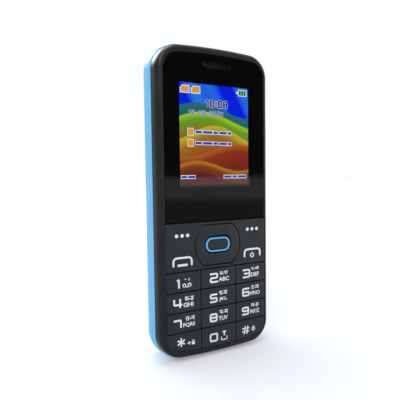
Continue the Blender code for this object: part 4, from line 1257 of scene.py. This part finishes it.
class PHONE_OT_display(bpy.types.Operator):
    """Liquid crystal panel with its picture, and the signs that it shows"""

    bl_idname = "phone.display"
    bl_label = "Display"

    def execute(self, context):
        low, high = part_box("lcd_panel")
        outline = rectangle(low.x, high.x, low.z, high.z)
        step = polariser_step
        inner = rectangle(low.x + step, high.x - step, low.z + step, high.z - step)
        rings = [(inner, panel_front), (inner, panel_front + step), (outline, panel_front + step)]
        rings.append((outline, panel_back))
        dress(loft("display_panel", rings), "phone_body", "display_glass", finish("Display picture"), "lcd_panel")
        self.signs()
        return {"FINISHED"}

    def signs(self):
        """Two card signs, battery sign, clock, row of digits and plain bars."""
        signs = Print(sign_front, sign_front + sign_thickness)
        over = Print(sign_front - sign_thickness, sign_front)
        names = ["Sign white", "Sign ink", "Sign blue", "Sign orange", "Sign green", "Sign pink"]
        white, ink, blue, orange, green, pink = range(len(names))
        rim, notch, foot, top = card_rim, card_notch, card_foot, card_top
        for left in card_lefts:
            right = left + card_width
            shape = [(right, top), (left + notch, top), (left, top - notch), (left, foot), (right, foot)]
            signs.finish = white
            signs.patch(shape)
            over.finish = orange
            inner = [(right - rim, top - rim), (left + notch, top - rim), (left + rim, top - notch)]
            over.patch(inner + [(left + rim, foot + rim), (right - rim, foot + rim)])
            over.front -= sign_thickness
            over.finish = pink
            far, near, low, high = card_cross
            over.stroke([(right + far, foot + low), (right + near, foot + high)], card_cross_line)
            over.stroke([(right + far, foot + high), (right + near, foot + low)], card_cross_line)
            over.front += sign_thickness
        signs.finish = white
        left, right, foot, top = cell_box
        nub, rim = cell_nub, cell_rim
        body = [(right, top), (left + nub, top), (left + nub, top - nub), (left, top - nub), (left, foot + nub)]
        signs.patch(body + [(left + nub, foot + nub), (left + nub, foot), (right, foot)])
        over.finish = green
        pitch = (right - left - nub - 2 * rim) / cell_bars
        for index in range(cell_bars):
            start = left + nub + rim + index * pitch
            over.patch(rectangle(start, start + pitch - rim / 2, foot + rim, top - rim))
        self.digits(signs, over, CLOCK, CLOCK_SIZES, clock_halo, white, ink)
        for z in colon_heights:
            over.finish = ink
            over.dot(colon_place, z, colon_radius)
            signs.finish = white
            signs.dot(colon_place, z, colon_halo)
        self.digits(signs, over, DATE, DATE_SIZES, date_halo, white, blue)
        for x in dash_lefts:
            for layer, colour, (low, high, line) in ((signs, white, dash_halo), (over, blue, dash_face)):
                layer.finish = colour
                layer.stroke([(x + low, dash_height), (x + high, dash_height)], line)
        self.plain_rows(signs, over, white, blue, orange)
        for made, name in ((signs, "display_signs"), (over, "display_sign_faces")):
            layer = made.made(name)
            for label in names:
                layer.data.materials.append(finish(label))
            dress(layer, "phone_body", "display_glass", None)

    def digits(self, signs, over, row, sizes, halo, white, colour):
        """Draws a row of digits, each over a wider white one."""
        foot, width, height, line, rounding = sizes
        for text, x in row:
            over.finish = colour
            over.digit(text, *(value * MM for value in (x, *sizes)))
            signs.finish = white
            grown = (x - halo, foot - halo, width + 2 * halo, height + 2 * halo, line + 2 * halo, rounding)
            signs.digit(text, *(value * MM for value in grown))

    def plain_rows(self, signs, over, white, blue, orange):
        """Two rows of plain bars with a square each in the middle, and one row at the foot."""
        rows = []
        for foot in middle_rows:
            left, right, low, high = bar_square
            over.finish = orange
            over.patch(rectangle(left, right, foot + low, foot + high))
            signs.finish = white
            signs.patch(rectangle(left - square_halo, right + square_halo, foot + low - square_halo,
                                  foot + high + square_halo))
            rows += [(x, width, foot) for x, width in MIDDLE_BARS]
        rows += [(x, width, foot_row) for x, width in FOOT_BARS]
        for x, width, foot in rows:
            left, right = x * MM, (x + width) * MM
            for layer, colour, (grow, low, high) in ((signs, white, bar_halo), (over, blue, bar_face)):
                layer.finish = colour
                layer.patch(rectangle(left - grow, right + grow, foot + low, foot + high))


class PHONE_OT_earpiece(bpy.types.Operator):
    """Fine wire mesh in the earpiece slot"""

    bl_idname = "phone.earpiece"
    bl_label = "Earpiece Mesh"

    def execute(self, context):
        low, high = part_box("earpiece_mesh")
        mesh = bmesh.new()
        rim = 0.16 * MM
        outer, inner = slot_shape(gap), slot_shape(gap + rim)
        back = mesh_setback + mesh_thickness
        add_rings(mesh, [(outer, mesh_setback), (outer, back), (inner, back), (inner, mesh_setback)], hollow=True)
        middle = mesh_setback + mesh_thickness / 2
        half_height = (high.z - low.z) / 2
        count = int((high.x - low.x) / wire_pitch)
        for index in range(count + 1):
            x = (index - count / 2) * wire_pitch
            past = max(abs(x) - (high.x - half_height), 0)
            reach = math.sqrt(max(half_height**2 - past**2, 0)) - rim / 2
            if reach > rim:
                sway = wire_radius * 0.7 * (-1) ** index
                wire = circle(x, y_at(middle + sway), wire_radius, small_steps)
                add_rings(mesh, [(wire, slot_height - reach), (wire, slot_height + reach)], axis="Z")
        rows = int(2 * half_height / wire_pitch)
        for index in range(rows):
            z = slot_height + (index - (rows - 1) / 2) * wire_pitch
            reach = high.x - half_height + math.sqrt(max(half_height**2 - (z - slot_height) ** 2, 0)) - rim / 2
            points = []
            for step in range(2 * count + 1):
                x = -reach + step / (2 * count) * 2 * reach
                sway = math.cos((x / wire_pitch + count / 2) * math.pi) * wire_radius * 0.9
                points.append((x, middle - sway))
            rings = [(circle(y_at(depth), z, wire_radius, small_steps), x) for x, depth in points]
            add_rings(mesh, rings, axis="X")
        dress(piece("earpiece_wires", mesh), "phone_body", "mesh_grey", finish("Dark mesh"), "earpiece_mesh")
        return {"FINISHED"}


class PHONE_OT_number_keys(bpy.types.Operator):
    """Twelve flush number keys with their white signs"""

    bl_idname = "phone.number_keys"
    bl_label = "Number Keys"

    def execute(self, context):
        sizes = context.scene.phone_sizes
        half_seam = key_seam / 2
        for index, label in enumerate(key_names):
            row, column = divmod(index, 3)
            last = row == number_rows
            top = number_top - row * row_pitch - half_seam
            foot = keypad_margin if last else top - row_pitch + key_seam
            left = (-field_half, -middle_half + half_seam, middle_half + half_seam)[column]
            right = (-middle_half - half_seam, middle_half - half_seam, field_half)[column]
            low_left = field_corner if last and column == 0 else key_corner
            low_right = field_corner if last and column == 2 else key_corner
            radii = (key_corner, key_corner, low_left, low_right)
            rise = keypad_rise if last else level

            def shape(inset, box=(left, right, foot, top), radii=radii, rise=rise):
                return panel(*box, radii, inset, rise)

            rings = cap_rings(shape, 0, key_thickness, sizes.key_edge, sizes.key_crown)
            cap = loft(f"cap_{label}", rings)
            if label == "5":
                for x in (left + dot_inset, right - dot_inset):
                    join(cap, self.dot(x, (foot + top) / 2))
            dress(cap, f"key_{label}", "key_black", finish("Key lacquer"), f"key_{label}")
            signs = Print(-sizes.print_height, sizes.key_crown + sizes.print_height)
            self.sign(signs, label, sizes)
            dress(signs.made(f"signs_{label}"), f"key_{label}", "key_black", finish("White print"))
        return {"FINISHED"}

    def dot(self, x, z):
        """Round raised dot that a finger can feel."""
        rings = [(circle(x, z, dot_radius), dot_height)]
        for inset, depth in quarter(0, dot_radius, 0, -dot_height, False, small_steps):
            rings.append((circle(x, z, max(dot_radius - inset, weld * 20)), depth))
        return loft("dot", rings)

    def sign(self, signs, label, sizes):
        line = sizes.print_line
        if label in NUMBER_SIGNS:
            digit, letters, script = NUMBER_SIGNS[label]
            left, right, foot, top = (value * MM for value in digit)
            signs.digit(label, left, foot, right - left, top - foot, line, line * 0.75)
            for extra, bold in ((letters, 0.025), (script, 0.02)):
                if extra:
                    signs.words(extra[0], *(value * MM for value in extra[1:]), bold)
        elif label == "star":
            self.star(signs, line)
        elif label == "hash":
            self.hash(signs, line)
        signs.marks(SIGNS.get(label, ()))

    def star(self, signs, line):
        """Star of six arms."""
        points = []
        for arm in range(star_arms):
            angle = math.pi / 2 + arm * 2 * math.pi / star_arms
            way = Vector((math.cos(angle), math.sin(angle)))
            side = Vector((-way.y, way.x)) * line * 0.42
            points += [way * star_reach - side, way * star_reach + side]
            notch = angle + math.pi / star_arms
            points.append(Vector((math.cos(notch), math.sin(notch))) * line * 0.84)
        signs.patch([(star_place[0] + point.x, star_place[1] + point.y) for point in points])

    def hash(self, signs, line):
        """Two slanting uprights, with two cross lines in three pieces each."""
        for x in hash_uprights:
            foot = ((x - hash_lean) * MM, hash_foot * MM)
            top = ((x + hash_lean) * MM, hash_top * MM)
            signs.stroke([foot, top], line * hash_share)
        for z in hash_rows:
            shift = (z - hash_middle) * hash_slant
            for left, right in hash_pieces:
                ends = [((left + shift) * MM, z * MM), ((right + shift) * MM, z * MM)]
                signs.stroke(ends, line * hash_share)


class PHONE_OT_function_keys(bpy.types.Operator):
    """Plate with the two soft keys and the two call keys"""

    bl_idname = "phone.function_keys"
    bl_label = "Function Plate"

    def execute(self, context):
        sizes = context.scene.phone_sizes
        rings = cap_rings(plate_shape, 0, key_thickness, sizes.key_edge, sizes.key_crown)
        plate = loft("function_keys", rings)

        def hole(inset):
            return navigation_shape(inset - navigation_seam)

        carve(plate, flared("hole", hole, 0, key_thickness + overrun, sizes.key_edge / 2))
        dress(plate, "function_plate", "key_black", finish("Key lacquer"), "function_plate")
        signs = Print(-sizes.print_height, sizes.key_crown + sizes.print_height)
        signs.marks(SIGNS["function"])
        dress(signs.made("function_signs"), "function_plate", "key_black", finish("White print"))
        return {"FINISHED"}


class PHONE_OT_navigation(bpy.types.Operator):
    """Navigation pad with the long key and its blue ring in the middle"""

    bl_idname = "phone.navigation"
    bl_label = "Navigation Pad"

    def execute(self, context):
        sizes = context.scene.phone_sizes
        edge = sizes.key_edge
        face = -navigation_proud
        rings = cap_rings(navigation_shape, face, navigation_thickness, navigation_edge, sizes.key_crown)
        pad = loft("navigation_pad", rings)
        carve(pad, flared("pad_hole", ok_shape, face, navigation_thickness + overrun, pad_dish))
        dress(pad, "navigation_key", "key_black", finish("Key lacquer"), "navigation_key")
        back = ok_ring_thickness - ok_proud
        inner = ok_ring_outer + ok_ring_wall
        rings = [(ring_shape(ok_ring_outer), back)]
        for step in range(2 * small_steps + 1):
            angle = step / (2 * small_steps) * math.pi
            inset = ok_ring_outer + ok_ring_wall / 2 * (1 - math.cos(angle))
            rings.append((ring_shape(inset), ok_ring_rise * (1 - math.sin(angle)) - ok_proud))
        rings.append((ring_shape(inner), back))
        ring = loft("middle_key_ring", rings, hollow=True)
        dress(ring, "ok_key", "ring_blue", finish("Light blue ring"), "ok_key_ring")
        start = inner + gap

        def shape(inset):
            return ring_shape(start + inset)

        face = ok_ring_rise - ok_proud
        rings = [(shape(edge * 2), face)]
        for inset, depth in quarter(edge, 0, face, face + edge, True, small_steps):
            rings.append((shape(inset), depth))
        rings += [(shape(0), back + gap), (ok_shape(gap + edge), back + gap)]
        for inset, depth in quarter(edge, 0, back + gap, back + gap + edge, True, small_steps):
            rings.append((ok_shape(gap + inset), depth))
        rings.append((ok_shape(gap), ok_flange_back))
        cap = loft("middle_key", rings)
        buried = (ok_flange_front + ok_flange_back) / 2
        low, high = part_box("ok_key")
        join(cap, prism("plunger", circle(0, function_middle, plunger_radius), buried, high.y - front_face))
        dress(cap, "ok_key", "key_black", finish("Key lacquer"), "ok_key")
        return {"FINISHED"}


class PHONE_OT_sockets(bpy.types.Operator):
    """Jack, charging socket and torch lens of the top end"""

    bl_idname = "phone.sockets"
    bl_label = "Sockets And Torch"

    def execute(self, context):
        low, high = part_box("audio_jack")
        x, y = (low.x + high.x) / 2, low.y + jack_wall + jack_bore
        outline = rectangle(low.x, high.x, low.z, high.z)
        jack = prism("jack_body", outline, low.y - front_face, high.y - front_face)

        def bore(inset):
            return circle(x, y, jack_bore - inset)

        carve(jack, flared("bore", bore, high.z, low.z + jack_bore, jack_bore_edge, "Z", 1))
        dress(jack, "phone_body", "chassis_plastic", finish("Chassis plastic"), "audio_jack")
        contacts = bmesh.new()
        for share in jack_contact_shares:
            height = low.z + (high.z - low.z) * share
            reach = jack_contact_reach
            profile = [(jack_bore, height), (jack_bore - reach, height + reach), (jack_bore, height + 2 * reach)]
            add_rings(contacts, [(circle(x, y, radius), z) for radius, z in profile], hollow=True, axis="Z")
        dress(piece("jack_contacts", contacts), "phone_body", "antenna_gold", finish("Gold plate"))
        self.charging_socket()
        self.lens()
        return {"FINISHED"}

    def charging_socket(self):
        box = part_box("usb_socket")
        low, high = box
        shell = loft("charging_shell", [(usb_shape(box, 0), low.z), (usb_shape(box, 0), high.z)], axis="Z")

        def bore(inset):
            return usb_shape(box, usb_wall + inset)

        carve(shell, flared("bore", bore, high.z, low.z + usb_wall, usb_wall / 2, "Z", 1))
        dress(shell, "phone_body", "nickel_metal", finish("Nickel sheet"), "usb_socket")
        x, y = (low.x + high.x) / 2, (low.y + high.y) / 2
        half, rise = (high.x - low.x) / 4, tongue_half_depth
        tongue = panel(x - half, x + half, y - rise, y + rise, (tongue_corner,) * 4, steps=small_steps)
        top = high.z - usb_wall
        block = loft("charging_tongue", [(tongue, low.z + usb_wall / 2), (tongue, top)], axis="Z")
        dress(block, "phone_body", "chassis_plastic", finish("Chassis plastic"))
        pins = bmesh.new()
        face = y - rise
        for index in range(pin_count):
            middle = x + (index - (pin_count - 1) / 2) * pin_pitch
            pin = rectangle(middle - pin_half_width, middle + pin_half_width, face - pin_front, face + pin_back)
            add_rings(pins, [(pin, low.z + usb_wall), (pin, top - pin_setback)], axis="Z")
        dress(piece("charging_pins", pins), "phone_body", "antenna_gold", finish("Gold plate"))

    def lens(self):
        low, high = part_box("torch_lens")
        y, flange = (low.y + high.y) / 2, (high.x - low.x) / 2
        shoulder = low.z + torch_shoulder
        crown = high.z - torch_crown
        profile = [(torch_foot_inset, low.z + torch_foot_rise), (flange - torch_foot_inset, low.z)]
        profile.append((flange, low.z + torch_edge))
        profile += [(flange, shoulder), (torch_radius, shoulder), (torch_radius, crown)]
        for step in range(1, small_steps):
            angle = step / small_steps * math.pi / 2
            profile.append((torch_radius * math.cos(angle), crown + (high.z - crown) * math.sin(angle)))
        rings = [(circle(0, y, radius), z) for radius, z in profile]
        dress(loft("torch_cap", rings, axis="Z"), "phone_body", "clear_lens", finish("Clear lens"), "torch_lens")


inner_finishes = {
    "Chassis plastic": ("rear_housing", "battery_contacts", "loudspeaker"),
    "Black silicone": ("keypad_mat", "function_web", "navigation_seat"),
    "Spring steel": ("dome_sheet", "motor_weight", "housing_screw_1", "housing_screw_2", "housing_screw_3",
                     "housing_screw_4"),
    "Solder mask": ("main_board",),
    "Nickel sheet": ("cpu_shield", "rf_shield", "sim_socket_1", "sim_socket_2", "memory_card_socket", "lcd_frame",
                     "earpiece_speaker", "vibration_motor", "microphone"),
    "Gold plate": ("antenna",),
    "Battery wrap": ("battery",),
    "Yellow phosphor": ("torch_led",),
}


class PHONE_OT_inner_parts(bpy.types.Operator):
    """Finishes of the parts that keep the shape they have in the frame"""

    bl_idname = "phone.inner_parts"
    bl_label = "Inner Parts"

    def execute(self, context):
        for name, nodes in inner_finishes.items():
            for node in nodes:
                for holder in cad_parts[node].material_slots:
                    holder.material = finish(name)
        return {"FINISHED"}


class PHONE_OT_stage(bpy.types.Operator):
    """Pale floor, soft lamps, plain sky and the camera"""

    bl_idname = "phone.stage"
    bl_label = "Stage"

    def execute(self, context):
        self.floor()
        self.sky(context.scene)
        self.lamps(context.scene)
        self.camera(context.scene)
        context.scene.view_settings.view_transform = "Standard"
        return {"FINISHED"}

    def floor(self):
        floor = prism("floor", circle(0, 0, floor_reach), -2 * overrun, 0, "Z")
        made, net, shader = blank("Pale floor")
        path = net.node("LightPath").outputs
        tone = net.vary(net.noise(net.here(), 40.0, 3.0), 0.99, 1.01, 0.3, 0.7)
        net.feed(shader.inputs["Base Color"], net.mix(1.0, (0.88, 0.90, 0.96), tone, "MULTIPLY"))
        shader.inputs["Roughness"].default_value = 0.8
        shader.inputs["Specular IOR Level"].default_value = 0.0
        reach = net.node("VectorMath", {0: net.here()}, operation="LENGTH").outputs["Value"]
        glow = net.vary(reach, floor_glow, far_floor_glow, 0.06, 0.45)
        net.feed(shader.inputs["Emission Strength"], net.math("MULTIPLY", path["Is Camera Ray"], glow))
        shader.inputs["Emission Color"].default_value = (1, 1, 1, 1)
        floor.data.materials.append(made)
        floor.visible_glossy = False

    def sky(self, scene):
        world = bpy.data.worlds.new("Studio")
        world.use_nodes = True
        scene.world = world
        net = Net(world.node_tree)
        world.node_tree.nodes.clear()
        split = net.node("SeparateXYZ", {0: net.node("TexCoord").outputs["Generated"]}).outputs
        path = net.node("LightPath").outputs
        rise = split["Z"]
        band = net.math("MULTIPLY", net.vary(rise, 1, 0, -0.004, 0.004), net.vary(rise, 0, 1, -0.062, -0.045))
        ground = net.vary(rise, 0.17, 0.04, -0.01, 0.01)
        level_seen = net.math("MULTIPLY_ADD", band, 0.34, ground)
        behind = net.vary(net.math("MULTIPLY_ADD", split["X"], 0.6, split["Y"]), 0, 0.9, 0.35, 1.1)
        top = net.vary(rise, 0, 0.5, 0.3, 0.9)
        level_seen = net.math("ADD", level_seen, net.math("MAXIMUM", behind, top))
        side = net.math("MULTIPLY", net.vary(split["X"], 0, 2.0, 0.66, 0.84), net.vary(rise, 0.6, 1.1, -0.1, 0.15))
        towards = 0
        for axis, share in zip("XYZ", spark_way):
            towards = net.math("MULTIPLY_ADD", split[axis], share, towards)
        spark = net.vary(towards, 0, 11.0, 0.955, 0.99)
        level_seen = net.math("ADD", level_seen, net.math("ADD", side, spark))
        mirrored = net.math("MAXIMUM", path["Is Glossy Ray"], path["Is Transmission Ray"])
        strength = net.vary(mirrored, scene.phone_stage.sky, 0)
        strength = net.math("MULTIPLY_ADD", mirrored, level_seen, strength)
        strength = net.math("MAXIMUM", path["Is Camera Ray"], strength)
        inputs = {"Color": (0.97, 0.985, 1.0), "Strength": strength}
        back = net.node("Background", inputs)
        end = net.node("OutputWorld")
        net.tree.links.new(back.outputs[0], end.inputs[0])

    def lamps(self, scene):
        power = scene.phone_stage.lamp
        for name, spot, size, share in LAMPS:
            lamp = bpy.data.lights.new(name, "AREA")
            lamp.energy = power * share
            lamp.size = size
            made = bpy.data.objects.new(name, lamp)
            scene.collection.objects.link(made)
            aim = Vector((0, 0, phone_height / 2)) - Vector(spot)
            made.matrix_world = Matrix.Translation(spot) @ aim.to_track_quat("-Z", "Y").to_matrix().to_4x4()

    def camera(self, scene):
        data = bpy.data.cameras.new("camera")
        data.lens = camera_lens
        data.sensor_width = camera_sensor
        data.clip_start = near_clip
        made = bpy.data.objects.new("camera", data)
        scene.collection.objects.link(made)
        level_reach = math.cos(camera_elevation)
        back = Vector((math.sin(camera_azimuth) * level_reach, -math.cos(camera_azimuth) * level_reach,
                       math.sin(camera_elevation)))
        right = (-back).cross(Vector((0, 0, 1))).normalized()
        up = right.cross(-back)
        cos, sin = math.cos(camera_roll), math.sin(camera_roll)
        across, upward = right * cos + up * sin, -right * sin + up * cos
        turn = Matrix((across, upward, back)).transposed()
        made.matrix_world = Matrix.Translation(camera_place) @ turn.to_4x4()
        scene.camera = made


class PHONE_PT_sidebar(bpy.types.Panel):
    bl_label = "Bar Phone"
    bl_idname = "PHONE_PT_sidebar"
    bl_space_type = "VIEW_3D"
    bl_region_type = "UI"
    bl_category = "Phone"

    def draw(self, context):
        for settings in (context.scene.phone_sizes, context.scene.phone_colours, context.scene.phone_stage):
            box = self.layout.box()
            for name in settings.bl_rna.properties.keys():
                if name not in ("rna_type", "name"):
                    box.prop(settings, name)
        for step in steps:
            self.layout.operator(step.bl_idname)


steps = (
    PHONE_OT_front_shell,
    PHONE_OT_band,
    PHONE_OT_back_cover,
    PHONE_OT_window,
    PHONE_OT_display,
    PHONE_OT_earpiece,
    PHONE_OT_number_keys,
    PHONE_OT_function_keys,
    PHONE_OT_navigation,
    PHONE_OT_sockets,
    PHONE_OT_inner_parts,
    PHONE_OT_stage,
)
classes = (PhoneSizes, PhoneColours, PhoneStage) + steps + (PHONE_PT_sidebar,)


def register():
    for kind in classes:
        bpy.utils.register_class(kind)
    bpy.types.Scene.phone_sizes = PointerProperty(type=PhoneSizes)
    bpy.types.Scene.phone_colours = PointerProperty(type=PhoneColours)
    bpy.types.Scene.phone_stage = PointerProperty(type=PhoneStage)


def unregister():
    del bpy.types.Scene.phone_stage
    del bpy.types.Scene.phone_colours
    del bpy.types.Scene.phone_sizes
    for kind in reversed(classes):
        bpy.utils.unregister_class(kind)


def main():
    register()
    for step in steps:
        getattr(bpy.ops.phone, step.bl_idname.split(".")[1])()


if __name__ == "__main__":
    main()
